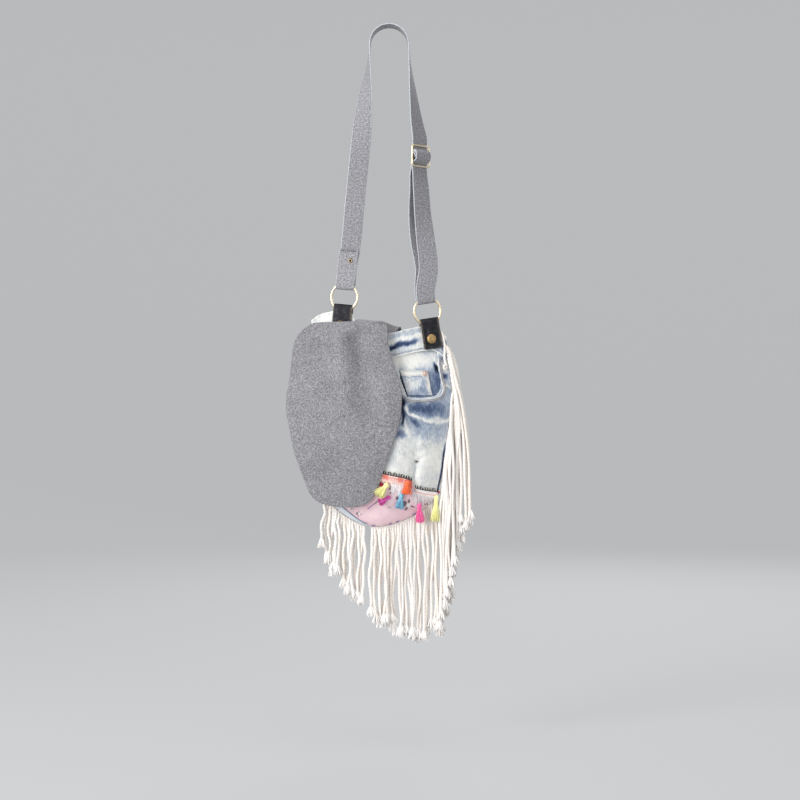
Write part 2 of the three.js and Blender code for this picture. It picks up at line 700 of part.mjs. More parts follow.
// Ring, tab and stud of each side hang in one group whose origin is the ring's middle
const tabTop = -Math.sqrt(ring.radius ** 2 - (tab.wide / 2) ** 2) + ring.wire + ring.play + leather / 2;
const studDrop = tabTop + leather / 2 - tab.aboveStud;
function hangerGroup(side) {
  const { x, z, lean } = hangers[side];
  const group = new THREE.Group();
  setUpright(group, frontYaw(x, z), degToRad(lean));
  const fixedAt = onFront(x, z, 0).add(pouch.position);
  group.updateMatrix();
  group.position.copy(fixedAt).sub(new THREE.Vector3(0, 0, studDrop).applyMatrix4(group.matrix));
  bag.add(group);

  const torus = new THREE.TorusGeometry(ring.radius, ring.wire, ring.sides, ring.steps).rotateX(Math.PI / 2);
  piece(`ring_${side}`, torus, finishes.gold, group);

  const layer = tab.half + leather / 2;
  const low = studDrop - tab.belowStud;
  const bendAt = tabTop - layer;
  const profile = [new THREE.Vector2(-layer, low), new THREE.Vector2(-layer, (low + bendAt) / 2)];
  for (let turn = 0; turn <= tab.bendSteps; turn++) {
    const angle = Math.PI - (Math.PI * turn) / tab.bendSteps;
    profile.push(new THREE.Vector2(layer * Math.cos(angle), bendAt + layer * Math.sin(angle)));
  }
  profile.push(new THREE.Vector2(layer, (low + bendAt) / 2), new THREE.Vector2(layer, low));
  const stations = profile.map((place) => ({
    point: new THREE.Vector3(0, place.x, place.y),
    across: new THREE.Vector3(1, 0, 0),
    wide: tab.wide,
  }));
  piece(`tab_${side}`, band(stations, leather), finishes.leather, group);

  const button = piece(`stud_${side}`, cap(stud), finishes.brass, group);
  button.position.set(0, -layer - leather / 2 - gap, studDrop);
  group.updateMatrixWorld(true);
  return group;
}
const hanger = { left: hangerGroup("left"), right: hangerGroup("right") };

// A station of the strap in a ring's own frame: off is towards the back, up is along the strap
function ringStation(side, off, up, wide) {
  const frame = hanger[side].matrixWorld;
  const point = new THREE.Vector3(0, off, up).applyMatrix4(frame);
  const across = new THREE.Vector3(side === "left" ? 1 : -1, 0, 0).transformDirection(frame);
  return { point, across, wide };
}
function legStation(row, sense) {
  const turn = degToRad(row.turn);
  const across = new THREE.Vector3(sense * Math.cos(turn), sense * Math.sin(turn), 0);
  return { point: new THREE.Vector3(row.x, row.y, row.z), across, wide: strapWide };
}
const foldUp = Math.sqrt(ring.radius ** 2 - (strapAtRing / 2) ** 2) - ring.play;
function foldStations(side) {
  const stations = [];
  for (let step = 0; step <= foldSteps; step++) {
    const angle = (Math.PI * step) / foldSteps;
    const off = -foldRadius * Math.cos(angle);
    stations.push(ringStation(side, off, foldUp - foldRadius * Math.sin(angle), strapAtRing));
  }
  return stations;
}

// Folded left end, round the left ring, up the left leg and over the top
const upFromRing = doubledRows.slice(1).reverse();
const strapStations = [
  ...doubledRows.map((row) => ringStation("left", -row.off, row.up, row.wide)),
  ...foldStations("left"),
  ...upFromRing.map((row) => ringStation("left", row.off, row.up, row.wide)),
  ...leftLeg.map((row) => legStation(row, 1)),
];
const topRadius = hangRadius + webbing / 2;
for (let step = 0; step <= topSteps; step++) {
  const angle = Math.PI - (Math.PI * step) / topSteps;
  strapStations.push({
    point: new THREE.Vector3(topRadius * Math.cos(angle), 0, -hangRadius + topRadius * Math.sin(angle)),
    across: new THREE.Vector3(0, -1, 0),
    wide: strapWide,
  });
}
// Through the slider: behind its outer bars and over the middle one
const sliderFrame = new THREE.Group();
sliderFrame.position.set(sliderPlace.x, 0, sliderPlace.z);
setUpright(sliderFrame, degToRad(sliderPlace.turn), 0);
sliderFrame.updateMatrixWorld(true);
function sliderStation(off, up) {
  const point = new THREE.Vector3(0, off, up).applyMatrix4(sliderFrame.matrixWorld);
  const across = new THREE.Vector3(-1, 0, 0).transformDirection(sliderFrame.matrixWorld);
  return { point, across, wide: strapWide };
}
const behindBar = slider.rod / 2 + gap + webbing / 2;
const wrapRadius = slider.rod * Math.SQRT1_2 + gap + webbing / 2;
const overWrap = wrapRadius + webbing + gap;
const behindBoth = behindBar + webbing + 2 * gap;
const barOuter = slider.barPitch + slider.rod;
const barInner = slider.barPitch - slider.rod;
strapStations.push(
  ...rightLegHigh.map((row) => legStation(row, -1)),
  sliderStation(behindBar - threading.ease, threading.clear),
  sliderStation(behindBar, barOuter),
  sliderStation(behindBar, barInner),
  sliderStation(-overWrap, threading.over),
  sliderStation(-overWrap, -threading.over),
  sliderStation(behindBar, -barInner),
  sliderStation(behindBar, -barOuter),
  sliderStation(behindBar - threading.ease, -threading.clear),
  ...rightLegLow.map((row) => legStation(row, -1)),
  ringStation("right", -foldRadius, rightFold.up, rightFold.wide),
  ...foldStations("right"),
  ringStation("right", foldRadius + rightFold.ease, rightFold.up, rightFold.wide),
  ...returnLeg.map((row) => legStation(row, -1)),
  sliderStation(behindBar + threading.slack, -threading.clear),
  sliderStation(behindBoth, -barOuter),
  sliderStation(behindBoth, -barInner),
  sliderStation(wrapRadius + threading.ease, -threading.enter),
);
for (let step = 0; step <= threading.wrapSteps; step++) {
  const angle = (Math.PI * step) / threading.wrapSteps;
  strapStations.push(sliderStation(wrapRadius * Math.cos(angle), wrapRadius * Math.sin(angle)));
}
strapStations.push(sliderStation(-wrapRadius, -threading.cut));
piece("strap", band(strapStations, webbing), finishes.webbing, bag);

// Slider: a rounded plate with two windows
function roundedBox(path, wide, high, corner, middle) {
  const [left, right] = [-wide / 2, wide / 2];
  const [low, top] = [middle - high / 2, middle + high / 2];
  path.moveTo(left + corner, low);
  path.lineTo(right - corner, low);
  path.quadraticCurveTo(right, low, right, low + corner);
  path.lineTo(right, top - corner);
  path.quadraticCurveTo(right, top, right - corner, top);
  path.lineTo(left + corner, top);
  path.quadraticCurveTo(left, top, left, top - corner);
  path.lineTo(left, low + corner);
  path.quadraticCurveTo(left, low, left + corner, low);
  return path;
}
const sliderShape = roundedBox(new THREE.Shape(), slider.wide, slider.high, slider.corner, 0);
const windowHigh = slider.barPitch - slider.rod;
for (const middle of [-slider.barPitch / 2, slider.barPitch / 2]) {
  const inside = slider.wide - 2 * slider.rod;
  sliderShape.holes.push(roundedBox(new THREE.Path(), inside, windowHigh, slider.windowCorner, middle));
}
const sliderPlate = new THREE.ExtrudeGeometry(sliderShape, {
  depth: slider.rod,
  bevelEnabled: false,
  curveSegments: 3,
});
sliderPlate.translate(0, 0, -slider.rod / 2).rotateX(Math.PI / 2);
const sliderMesh = piece("strap_slider", sliderPlate, finishes.gold, bag);
sliderMesh.position.copy(sliderFrame.position);
sliderMesh.rotation.copy(sliderFrame.rotation);

// Eyelet on the folded end of the left leg
const eyeletProfile = [
  new THREE.Vector2(eyelet.bore, 0),
  new THREE.Vector2(eyelet.outer, 0),
  new THREE.Vector2(eyelet.outer * eyelet.lip, eyelet.high),
  new THREE.Vector2(eyelet.bore, eyelet.high * eyelet.lip),
  new THREE.Vector2(eyelet.bore, 0),
];
const eyeletRing = new THREE.LatheGeometry(eyeletProfile, eyelet.sides).rotateX(Math.PI);
const eyeletMesh = piece("strap_eyelet", eyeletRing, finishes.brass, hanger.left);
eyeletMesh.position.set(eyelet.across, -layerStep - webbing / 2 - gap, eyelet.up);

// A lock of rope: flattened rings along a curve, fuller towards its frayed end
function lock(curve) {
  const rings = lockRings.map((row) => {
    const middle = curve.getPoint(row.along);
    const along = curve.getTangent(row.along);
    const side = new THREE.Vector3(0, 1, 0).cross(along).normalize();
    const depth = along.clone().cross(side);
    const ringPoints = [];
    for (let i = 0; i < lockSides; i++) {
      const angle = (2 * Math.PI * i) / lockSides;
      const point = middle.clone().addScaledVector(side, lockWide * row.size * Math.cos(angle));
      ringPoints.push(point.addScaledVector(depth, lockDeep * row.size * Math.sin(angle)));
    }
    return ringPoints;
  });
  return loft(rings);
}

// The seam from its right top, down the side, along the bottom and up the left side, just outside the pouch
const seam = {
  right: (down) => new THREE.Vector3(seamRight(down), 0, lerp(rim.front(1), bottomSeam(1), down)),
  left: (down) => new THREE.Vector3(seamLeft(down), 0, lerp(rim.front(0), bottomSeam(0), down)),
  bottom: (across) => new THREE.Vector3(lerp(seamLeft(1), seamRight(1), across), 0, bottomSeam(across)),
};
function besideSeam(run, place, sense, clear = head.clear) {
  const reach = 0.01;
  const ahead = seam[run](Math.min(place + reach, 1));
  const behind = seam[run](Math.max(place - reach, 0));
  const along = ahead.sub(behind).normalize();
  const out = new THREE.Vector3(-along.z, 0, along.x).multiplyScalar(sense);
  return seam[run](place).addScaledVector(out, head.radius + clear);
}
function seamPoints(run, { from, to, steps }, sense, clear) {
  const place = (i) => lerp(from, to, i / steps);
  return Array.from({ length: steps + 1 }, (_, i) => besideSeam(run, place(i), sense, clear));
}
function headTube(points) {
  const round = new THREE.Shape().absarc(0, 0, head.radius, 0, 2 * Math.PI);
  const extrudePath = new THREE.CatmullRomCurve3(points);
  return new THREE.ExtrudeGeometry(round, { steps: points.length, extrudePath, curveSegments: 3 });
}
function hungLock(start, end, bow, depth) {
  const { leaveAt, fallAt, fallAcross, fallBow } = lockPath;
  const out = new THREE.Vector3(start.x + bow, depth, lerp(start.z, end.z, leaveAt));
  const fallX = lerp(start.x, end.x, fallAcross) + bow * fallBow;
  const fall = new THREE.Vector3(fallX, depth, lerp(start.z, end.z, fallAt));
  return lock(new THREE.CubicBezierCurve3(start, out, fall, end));
}

const rightForms = [headTube(seamPoints("right", rightLocks, 1))];
for (let i = 0; i < rightLocks.count; i++) {
  const t = i / (rightLocks.count - 1);
  const start = besideSeam("right", lerp(rightLocks.from, rightLocks.to, t), 1);
  const depth = i % 2 ? rightLocks.stagger : -rightLocks.stagger;
  const end = new THREE.Vector3(
    lerp(rightEnds.xFirst, rightEnds.xLast, t),
    depth,
    lerp(rightEnds.zFirst, rightEnds.zLast, t),
  );
  rightForms.push(hungLock(start, end, rightLocks.bow, depth));
}
piece("fringe_right", joined(rightForms), finishes.rope);

const middleForms = [headTube(seamPoints("bottom", middleLocks, -1, head.middleClear))];
for (let i = 0; i < middleLocks.count; i++) {
  const t = i / (middleLocks.count - 1);
  const start = besideSeam("bottom", lerp(middleLocks.from, middleLocks.to, t), -1, head.middleClear);
  const depth = i % 2 ? middleLocks.stagger : -middleLocks.stagger;
  const end = new THREE.Vector3(start.x, depth, fringeEnd(start.x));
  middleForms.push(hungLock(start, end, middleLocks.bow, depth));
}
piece("fringe_middle", joined(middleForms), finishes.rope);

const leftHead = [
  ...seamPoints("bottom", { from: leftLocks.from, to: leftCorner.near, steps: leftHeadSteps.bottom }, -1),
  ...seamPoints("left", { from: 1 - leftCorner.near, to: leftLocks.to, steps: leftHeadSteps.side }, -1),
];
const leftForms = [headTube(leftHead)];
for (let i = 0; i < leftLocks.count; i++) {
  const t = i / (leftLocks.count - 1);
  const onBottom = t < leftCorner.share;
  const past = (t - leftCorner.share) / (1 - leftCorner.share);
  const place = onBottom
    ? lerp(leftLocks.from, leftCorner.bottomEnd, t / leftCorner.share)
    : lerp(leftCorner.sideStart, leftLocks.to, past);
  const start = besideSeam(onBottom ? "bottom" : "left", place, -1);
  const depth = i % 2 ? leftLocks.stagger : -leftLocks.stagger;
  const end = new THREE.Vector3(start.x + leftLocks.drift, depth, fringeEnd(start.x));
  leftForms.push(hungLock(start, end, leftLocks.bow, depth));
}
piece("fringe_left", joined(leftForms), finishes.rope);

export default bag;
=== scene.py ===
import bpy
import numpy as np
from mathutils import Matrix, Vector


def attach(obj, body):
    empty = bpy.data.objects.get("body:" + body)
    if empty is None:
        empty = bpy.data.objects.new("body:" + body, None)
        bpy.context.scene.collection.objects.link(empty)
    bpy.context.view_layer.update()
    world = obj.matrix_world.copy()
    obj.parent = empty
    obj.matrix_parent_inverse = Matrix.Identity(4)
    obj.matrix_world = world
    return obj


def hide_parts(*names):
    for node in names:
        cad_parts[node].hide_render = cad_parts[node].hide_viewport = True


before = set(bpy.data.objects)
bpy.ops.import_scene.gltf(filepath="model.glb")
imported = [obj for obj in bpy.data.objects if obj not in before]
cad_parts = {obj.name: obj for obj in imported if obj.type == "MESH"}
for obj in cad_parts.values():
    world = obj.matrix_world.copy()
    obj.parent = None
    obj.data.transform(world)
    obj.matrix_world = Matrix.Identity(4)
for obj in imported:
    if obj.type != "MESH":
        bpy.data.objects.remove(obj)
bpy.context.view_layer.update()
draw = np.random.default_rng(11)  # one seeded source for every scatter below
millimetre = 0.001  # shapes are worked out in millimetres
axisX, axisY, axisZ = np.eye(3)


def toLinear(code):  # sRGB hex to linear red, green, blue and a full alpha
    value = np.array([int(code[i:i + 2], 16) for i in (1, 3, 5)]) / 255
    linear = np.where(value <= 0.04045, value / 12.92, ((value + 0.055) / 1.055) ** 2.4)
    return (*(float(v) for v in linear), 1.0)


def lerp(start, end, share):  # a share of the way from start to end
    return start + (end - start) * share


def smooth(value, low, high):  # 0 under low, 1 over high, an S curve between
    t = np.clip((value - low) / (high - low), 0, 1)
    return t * t * (3 - 2 * t)


def bell(away, wide):  # 1 in the middle, falling off with the square of the distance
    return np.exp(-(away / wide) ** 2)


def unit(vectors):
    return vectors / np.maximum(np.linalg.norm(vectors, axis=-1, keepdims=True), 1e-9)


def circle(count):  # equal angles round a full turn
    return np.linspace(0, 2 * np.pi, count, endpoint=False)


def pointsAt(x, y, z):  # places from three coordinates, each spread to fit the others
    return np.stack(np.broadcast_arrays(x, y, z), -1)


def placed(local, matrix, origin):  # turned by the matrix and moved to the origin
    return local @ matrix.T + origin


def lengthAlong(path):  # how far each place lies along its path
    gone = np.cumsum(np.linalg.norm(np.diff(path, axis=-2), axis=-1), axis=-1)
    return np.concatenate([np.zeros((*gone.shape[:-1], 1)), gone], axis=-1)


def table(columns, *rows):  # a short table with named columns
    return {name: np.array([row[i] for row in rows], float) for i, name in enumerate(columns.split())}


def rowsOf(columns):  # the rows of such a table
    return np.stack(list(columns.values()), -1)


def cubic(value, slope, i, width, t):
    # from row i to the next, a share t of the width, leaving each at its slope
    start = value[i] * (1 + 2 * t) + slope[i] * width * t
    end = value[i + 1] * (3 - 2 * t) - slope[i + 1] * width * (1 - t)
    return start * (1 - t) ** 2 + end * t ** 2


def curveOf(rows, key, column):
    # a cubic through each row whose slope is the harmonic mean of the steps beside it, so it never overshoots
    at, value = rows[key], rows[column]
    step = np.diff(value) / np.diff(at)
    before, after = np.r_[step[:1], step], np.r_[step, step[-1:]]
    total = np.where(before + after == 0, 1, before + after)
    slope = np.where(before * after <= 0, 0, 2 * before * after / total)

    def curve(place):
        x = np.clip(place, at[0], at[-1])
        i = np.clip(np.searchsorted(at, x) - 1, 0, len(step) - 1)
        width = at[i + 1] - at[i]
        return cubic(value, slope, i, width, (x - at[i]) / width)

    return curve


def smoothPath(points, count):
    # a cubic through every point, with slopes weighed by the chords beside it, at equal steps of length
    points = np.asarray(points, float)
    chord = np.maximum(np.linalg.norm(np.diff(points[:, :3], axis=0), axis=1), 1e-6)
    at = np.r_[0, np.cumsum(chord)]
    slope = np.gradient(points, at, axis=0)
    place = np.linspace(0, at[-1], count)
    i = np.clip(np.searchsorted(at, place, side="right") - 1, 0, len(chord) - 1)
    return cubic(points, slope, i, chord[i][:, None], ((place - at[i]) / chord[i])[:, None])


# Meshes are pairs of points and face blocks

def gridFaces(rows, columns, closedAcross=False, closedAlong=False):  # the four corners of each cell
    index = np.arange(rows * columns).reshape(rows, columns)
    if closedAcross:
        index = np.c_[index, index[:, :1]]
    if closedAlong:
        index = np.r_[index, index[:1]]
    corners = [index[:-1, :-1], index[1:, :-1], index[1:, 1:], index[:-1, 1:]]
    return np.stack(corners, -1).reshape(-1, 4)


def tubeFaces(rows, columns):  # a grid closed across, with a cap at each end
    first = np.arange(columns)[None]
    return [gridFaces(rows, columns, True), first[:, ::-1], first + (rows - 1) * columns]


def addPiece(name, mesh, material, stands=False, uv=None, values=None):
    # stands is set where the piece takes the place of the solid of its own name
    points, faces = mesh
    # six times the volume is the sum of triple products, and its sign tells whether the faces point out
    volume = sum(
        np.einsum("ij,ij->", points[block[:, 0]], np.cross(points[block[:, i]], points[block[:, i + 1]]))
        for block in faces for i in range(1, block.shape[1] - 1)
    )
    if volume < 0:
        faces = [block[:, ::-1] for block in faces]
    used = np.unique(np.concatenate([block.ravel() for block in faces]))
    renumbered = np.zeros(len(points), int)
    renumbered[used] = np.arange(len(used))
    made = bpy.data.meshes.new(name)
    made.from_pydata(points[used] * millimetre, [],
                     [row for block in faces for row in renumbered[block].tolist()])
    made.polygons.foreach_set("use_smooth", np.ones(len(made.polygons), bool))
    if uv is not None:
        corner = np.zeros(len(made.loops), int)
        made.loops.foreach_get("vertex_index", corner)
        made.uv_layers.new(name="UVMap").data.foreach_set("uv", uv[used][corner].astype(np.float32).ravel())
    for key, value in (values or {}).items():
        spread = np.broadcast_to(np.ravel(value), len(points))[used]
        made.attributes.new(key, "FLOAT", "POINT").data.foreach_set("value", spread.astype(np.float32))
    made.materials.append(material)
    piece = bpy.data.objects.new(name, made)
    bpy.context.scene.collection.objects.link(piece)
    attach(piece, "root")
    if stands:
        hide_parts(name)
    return piece


def softSpan(count, edge):
    # 0 to 1 with two more steps near each end, and the share of its thickness that the cloth has at each
    place = np.r_[0, edge * 0.25, np.linspace(edge, 1 - edge, count), 1 - edge * 0.25, 1]
    thick = np.r_[0.35, 0.8, np.ones(count), 0.8, 0.35]
    return place, thick


def softGrid(part):  # places across and down a cloth, and its share of thickness at each
    across, thickAcross = softSpan(part["columns"], part["edges"][0])
    down, thickDown = softSpan(part["rows"], part["edges"][1])
    return (*np.meshgrid(across, down), np.minimum.outer(thickDown, thickAcross))


def sheetOf(middle, half, keep=None):
    # a cloth's two faces, half its thickness out and in along the normal, joined by a rim; keep drops facets
    rows, columns = middle.shape[:2]
    normal = unit(np.cross(np.gradient(middle, axis=0), np.gradient(middle, axis=1)))
    lift = normal * np.asarray(half)[..., None]
    points = np.concatenate([(middle + lift).reshape(-1, 3), (middle - lift).reshape(-1, 3)])
    outer = gridFaces(rows, columns)
    if keep is not None:
        outer = outer[keep(middle.reshape(-1, 3)[outer].mean(axis=1))]
    edges = np.concatenate([outer[:, [i, (i + 1) % 4]] for i in range(4)])
    count = rows * columns
    code, back = edges[:, 0] * count + edges[:, 1], edges[:, 1] * count + edges[:, 0]
    start, end = edges[~np.isin(code, back)].T  # an edge with no partner the other way is on the rim
    return points, [outer, outer[:, ::-1] + count, np.c_[end, start, start + count, end + count]]


def sweep(path, across, out, profile, closed=False):
    # rings of profile, its first column along across and its second along out, carried along each path
    rings = path[..., None, :] + across[..., None, :] * profile[..., :1]
    rings = rings + out[..., None, :] * profile[..., 1:]
    rings = rings.reshape(-1, *rings.shape[-3:])
    runs, rows, columns = rings.shape[:3]
    shift = (np.arange(runs) * rows * columns)[:, None, None]
    sides = gridFaces(rows, columns, True, closed)[None] + shift
    faces = [sides.reshape(-1, 4)]
    if not closed:
        first = np.arange(columns)[None, None] + shift
        faces += [first[:, 0, ::-1], first[:, 0] + (rows - 1) * columns]
    return rings.reshape(-1, 3), faces


def joinMeshes(*meshes):  # several meshes as one
    points, faces, count = [], [], 0
    for part, blocks in meshes:
        points.append(part)
        faces += [block + count for block in blocks]
        count += len(part)
    return np.concatenate(points), faces


def roundProfile(radius, sides):
    angle = circle(sides)
    return np.stack([np.cos(angle), np.sin(angle)], -1) * radius


def sideFrames(path):
    # two unit directions square to each path: one level, one up out of it
    along = unit(np.gradient(path, axis=-2))
    across = unit(np.cross(axisY, along))
    return across, np.cross(along, across)


def threadMesh(path, radius, sides, taper=1):  # a round thread along each path
    return sweep(path, *sideFrames(path), roundProfile(radius, sides) * taper)


def latheMesh(profile, matrix, origin, sides=40, closed=False):
    # radius and height turned about the local -Y axis, then set in place; a closed profile makes a ring
    angle, count = circle(sides), len(profile)
    radius, high = profile[:, :1], profile[:, 1:]
    local = pointsAt(radius * np.cos(angle), -high, radius * np.sin(angle)).reshape(-1, 3)
    faces = [gridFaces(count, sides, True, True)] if closed else tubeFaces(count, sides)
    return placed(local, matrix, origin), faces


# Materials

def setSockets(tree, node, sockets):  # a socket is linked, any other value is set
    for key, value in sockets.items():
        if isinstance(value, bpy.types.NodeSocket):
            tree.links.new(value, node.inputs[key])
        else:
            node.inputs[key].default_value = value


def addNode(tree, kind, sockets=None, stops=(), out=0, **settings):
    made = tree.nodes.new("ShaderNode" + kind)
    for key, value in settings.items():
        setattr(made, key, value)
    setSockets(tree, made, sockets or {})
    for i, (place, code) in enumerate(stops):
        ramp = made.color_ramp.elements
        stop = ramp[i] if i < 2 else ramp.new(place)
        stop.position, stop.color = place, toLinear(code)
    return made.outputs[out]


def newMaterial(name, settings):
    material = bpy.data.materials.new(name)
    material.use_nodes = True
    tree = material.node_tree
    shader = tree.nodes["Principled BSDF"]
    setSockets(tree, shader, settings)
    return material, tree, shader


def feltMaterial(name, tones, fleck):
    # felted wool: short mixed fibres pressed flat, so salt and pepper flecks, no weave and a soft sheen
    material, tree, shader = newMaterial(
        name, {"Roughness": 0.95, "Sheen Weight": 0.12, "Sheen Roughness": 0.6, "Specular IOR Level": 0.15})
    place = addNode(tree, "TexCoord", out="Object")
    fibre = addNode(tree, "TexNoise", {"Vector": place, "Scale": 1 / fleck, "Detail": 3, "Roughness": 0.8})
    base = addNode(tree, "ValToRGB", {"Fac": fibre}, tones)
    cloud = addNode(tree, "TexNoise", {"Vector": place, "Scale": 22, "Detail": 3})  # 45 mm clouds of tone
    worn = addNode(tree, "ValToRGB", {"Fac": cloud}, [(0.3, "#ebeaec"), (0.7, "#ffffff")])
    shaded = addNode(tree, "MixRGB", {"Fac": 1, "Color1": base, "Color2": worn}, blend_type="MULTIPLY")
    # dark bits, 5 mm apart at least
    pill = addNode(tree, "TexNoise", {"Vector": place, "Scale": 190, "Detail": 0})
    rare = addNode(tree, "ValToRGB", {"Fac": pill}, [(0.84, "#000000"), (0.86, "#ffffff")])
    speck = addNode(tree, "MixRGB", {"Fac": rare, "Color1": shaded, "Color2": toLinear("#6d6b70")})
    nap = addNode(tree, "TexNoise",
                  {"Vector": place, "Scale": 1 / (fleck * 0.8), "Detail": 4, "Roughness": 0.7})
    bump = addNode(tree, "Bump", {"Height": nap, "Strength": 0.45, "Distance": 0.0012})
    setSockets(tree, shader, {"Base Color": speck, "Normal": bump})
    return material


def strapMaterial():
    # wool chambray folded to a strap: a fine plain weave of blue grey and white yarn with pressed edges
    material, tree, shader = newMaterial(
        "woolChambrayStrap", {"Roughness": 0.92, "Sheen Weight": 0.1, "Specular IOR Level": 0.2})
    place = addNode(tree, "TexCoord", out="UV")  # millimetres across and along the strap
    grain = addNode(tree, "Mapping", {"Vector": place, "Scale": (0.7, 1, 1)})
    # 2 mm slubs
    yarn = addNode(tree, "TexNoise", {"Vector": grain, "Scale": 0.47, "Detail": 4, "Roughness": 0.85})
    base = addNode(tree, "ValToRGB", {"Fac": yarn},
                   [(0.28, "#4a4a4f"), (0.43, "#78777c"), (0.54, "#969599"), (0.7, "#cccbcf")])
    # 1.4 mm crossings, coarse enough to show
    weave = addNode(tree, "TexChecker", {"Vector": place, "Scale": 0.7, "Color1": (0.1, 0.1, 0.1, 1),
                                         "Color2": (0.9, 0.9, 0.9, 1)})
    bump = addNode(tree, "Bump", {"Height": weave, "Strength": 0.18, "Distance": 0.0004})
    nap = addNode(tree, "Bump", {"Height": yarn, "Strength": 0.2, "Distance": 0.0006, "Normal": bump})
    edge = addNode(tree, "Attribute", attribute_name="edge", out="Fac")  # the folded edges are painted pale, a painted highlight where they catch the light
    pale = addNode(tree, "MixRGB", {"Fac": edge, "Color1": base, "Color2": toLinear("#d3d7de")})
    setSockets(tree, shader, {"Base Color": pale, "Normal": nap})
    return material


def denimMaterial():
    # bleached cotton twill: the wash runs from bare white to raw indigo, with pale slubs and a diagonal rib
    material, tree, shader = newMaterial(
        "washedDenimTwill", {"Roughness": 0.88, "Sheen Weight": 0.05, "Specular IOR Level": 0.25})
    place = addNode(tree, "TexCoord", out="Object")
    # 18 mm blots
    blot = addNode(tree, "TexNoise", {"Vector": place, "Scale": 55, "Detail": 5, "Roughness": 0.65})
    drawn = addNode(tree, "Mapping", {"Vector": place, "Scale": (1, 1, 0.3)})
    slub = addNode(tree, "TexNoise", {"Vector": drawn, "Scale": 480, "Detail": 2})  # 2 mm wide, 7 mm long
    # this attribute holds the wash and, at a few places, painted shade and shadow
    tone = addNode(tree, "Attribute", attribute_name="washAndShade", out="Fac")
    for noise, swing in ((blot, 0.15), (slub, 0.13)):
        uneven = addNode(tree, "MapRange", {"Value": noise, "From Min": 0.25, "From Max": 0.75,
                                            "To Min": -swing, "To Max": swing})
        tone = addNode(tree, "Math", {0: tone, 1: uneven}, operation="ADD")
    scaled = addNode(tree, "Math", {0: tone, 1: 0.75}, operation="MULTIPLY")  # a wash of 1.33 is near black
    base = addNode(tree, "ValToRGB", {"Fac": scaled},
                   [(0.0, "#ecebe6"), (0.14, "#d8dad9"), (0.3, "#aab4c2"), (0.46, "#7d8aa1"),
                    (0.62, "#4f5f7e"), (0.78, "#2f3a56"), (0.95, "#0f1118")])
    turned = addNode(tree, "Mapping", {"Vector": place, "Rotation": (0, 0.46, 0)})
    # 1.7 mm ribs, coarse enough to show
    rib = addNode(tree, "TexWave", {"Vector": turned, "Scale": 185, "Distortion": 0.6})
    bump = addNode(tree, "Bump", {"Height": rib, "Strength": 0.14, "Distance": 0.0004})
    crush = addNode(tree, "Bump", {"Height": blot, "Strength": 0.3, "Distance": 0.0015, "Normal": bump})
    setSockets(tree, shader, {"Base Color": base, "Normal": crush})
    return material


def cottonMaterial(name, tones, inks=()):
    # plain cotton: a close even weave, matt, with any print soaked into the cloth
    material, tree, shader = newMaterial(name, {"Roughness": 0.85, "Specular IOR Level": 0.25})
    place = addNode(tree, "TexCoord", out="Object")
    cloud = addNode(tree, "TexNoise", {"Vector": place, "Scale": 60, "Detail": 4})  # 17 mm clouds
    colour = addNode(tree, "ValToRGB", {"Fac": cloud}, tones)
    for attribute, code in inks:
        share = addNode(tree, "Attribute", attribute_name=attribute, out="Fac")
        colour = addNode(tree, "MixRGB", {"Fac": share, "Color1": colour, "Color2": toLinear(code)})
    weave = addNode(tree, "TexNoise", {"Vector": place, "Scale": 900, "Detail": 1})  # 1.1 mm threads
    bump = addNode(tree, "Bump", {"Height": weave, "Strength": 0.2, "Distance": 0.0004})
    setSockets(tree, shader, {"Base Color": colour, "Normal": bump})
    return material


def leatherMaterial():
    # black dyed leather: pebbled grain, a low wax gloss, rubbed paler where it bends and along its cut edges
    material, tree, shader = newMaterial("blackLeather", {"Roughness": 0.55, "Specular IOR Level": 0.14})
    place = addNode(tree, "TexCoord", out="Object")
    # 8 mm patches
    paleness = addNode(tree, "TexNoise", {"Vector": place, "Scale": 120, "Detail": 6, "Roughness": 0.7})
    edge = addNode(tree, "Attribute", attribute_name="edge", out="Fac")
    rubbed = addNode(tree, "Math", {0: paleness, 1: edge}, operation="ADD")
    base = addNode(tree, "ValToRGB", {"Fac": rubbed},
                   [(0.3, "#161619"), (0.5, "#222226"), (0.61, "#343439"), (0.72, "#4d4c52"),
                    (0.88, "#75695d"), (1.0, "#8a7b6b")])
    gloss = addNode(tree, "MapRange", {"Value": paleness, "To Min": 0.42, "To Max": 0.68})
    pebble = addNode(tree, "TexVoronoi", {"Vector": place, "Scale": 750})  # 1.3 mm grain
    bump = addNode(tree, "Bump", {"Height": pebble, "Strength": 0.3, "Distance": 0.0004})
    setSockets(tree, shader, {"Base Color": base, "Roughness": gloss, "Normal": bump})
    return material


def metalMaterial(name, tones, rough, mark):
    # plated metal: bright where it is handled, dulled in soft patches, with fine rubbing marks
    material, tree, shader = newMaterial(name, {"Metallic": 1})
    place = addNode(tree, "TexCoord", out="Object")
    # 7 mm patches
    dull = addNode(tree, "TexNoise", {"Vector": place, "Scale": 140, "Detail": 5, "Roughness": 0.65})
    base = addNode(tree, "ValToRGB", {"Fac": dull}, tones)
    gloss = addNode(tree, "MapRange", {"Value": dull, "To Min": rough[0], "To Max": rough[1]})
    rubbing = addNode(tree, "TexNoise", {"Vector": place, "Scale": 1 / mark, "Detail": 2})
    bump = addNode(tree, "Bump", {"Height": rubbing, "Strength": 0.08, "Distance": 0.0002})
    setSockets(tree, shader, {"Base Color": base, "Roughness": gloss, "Normal": bump})
    return material


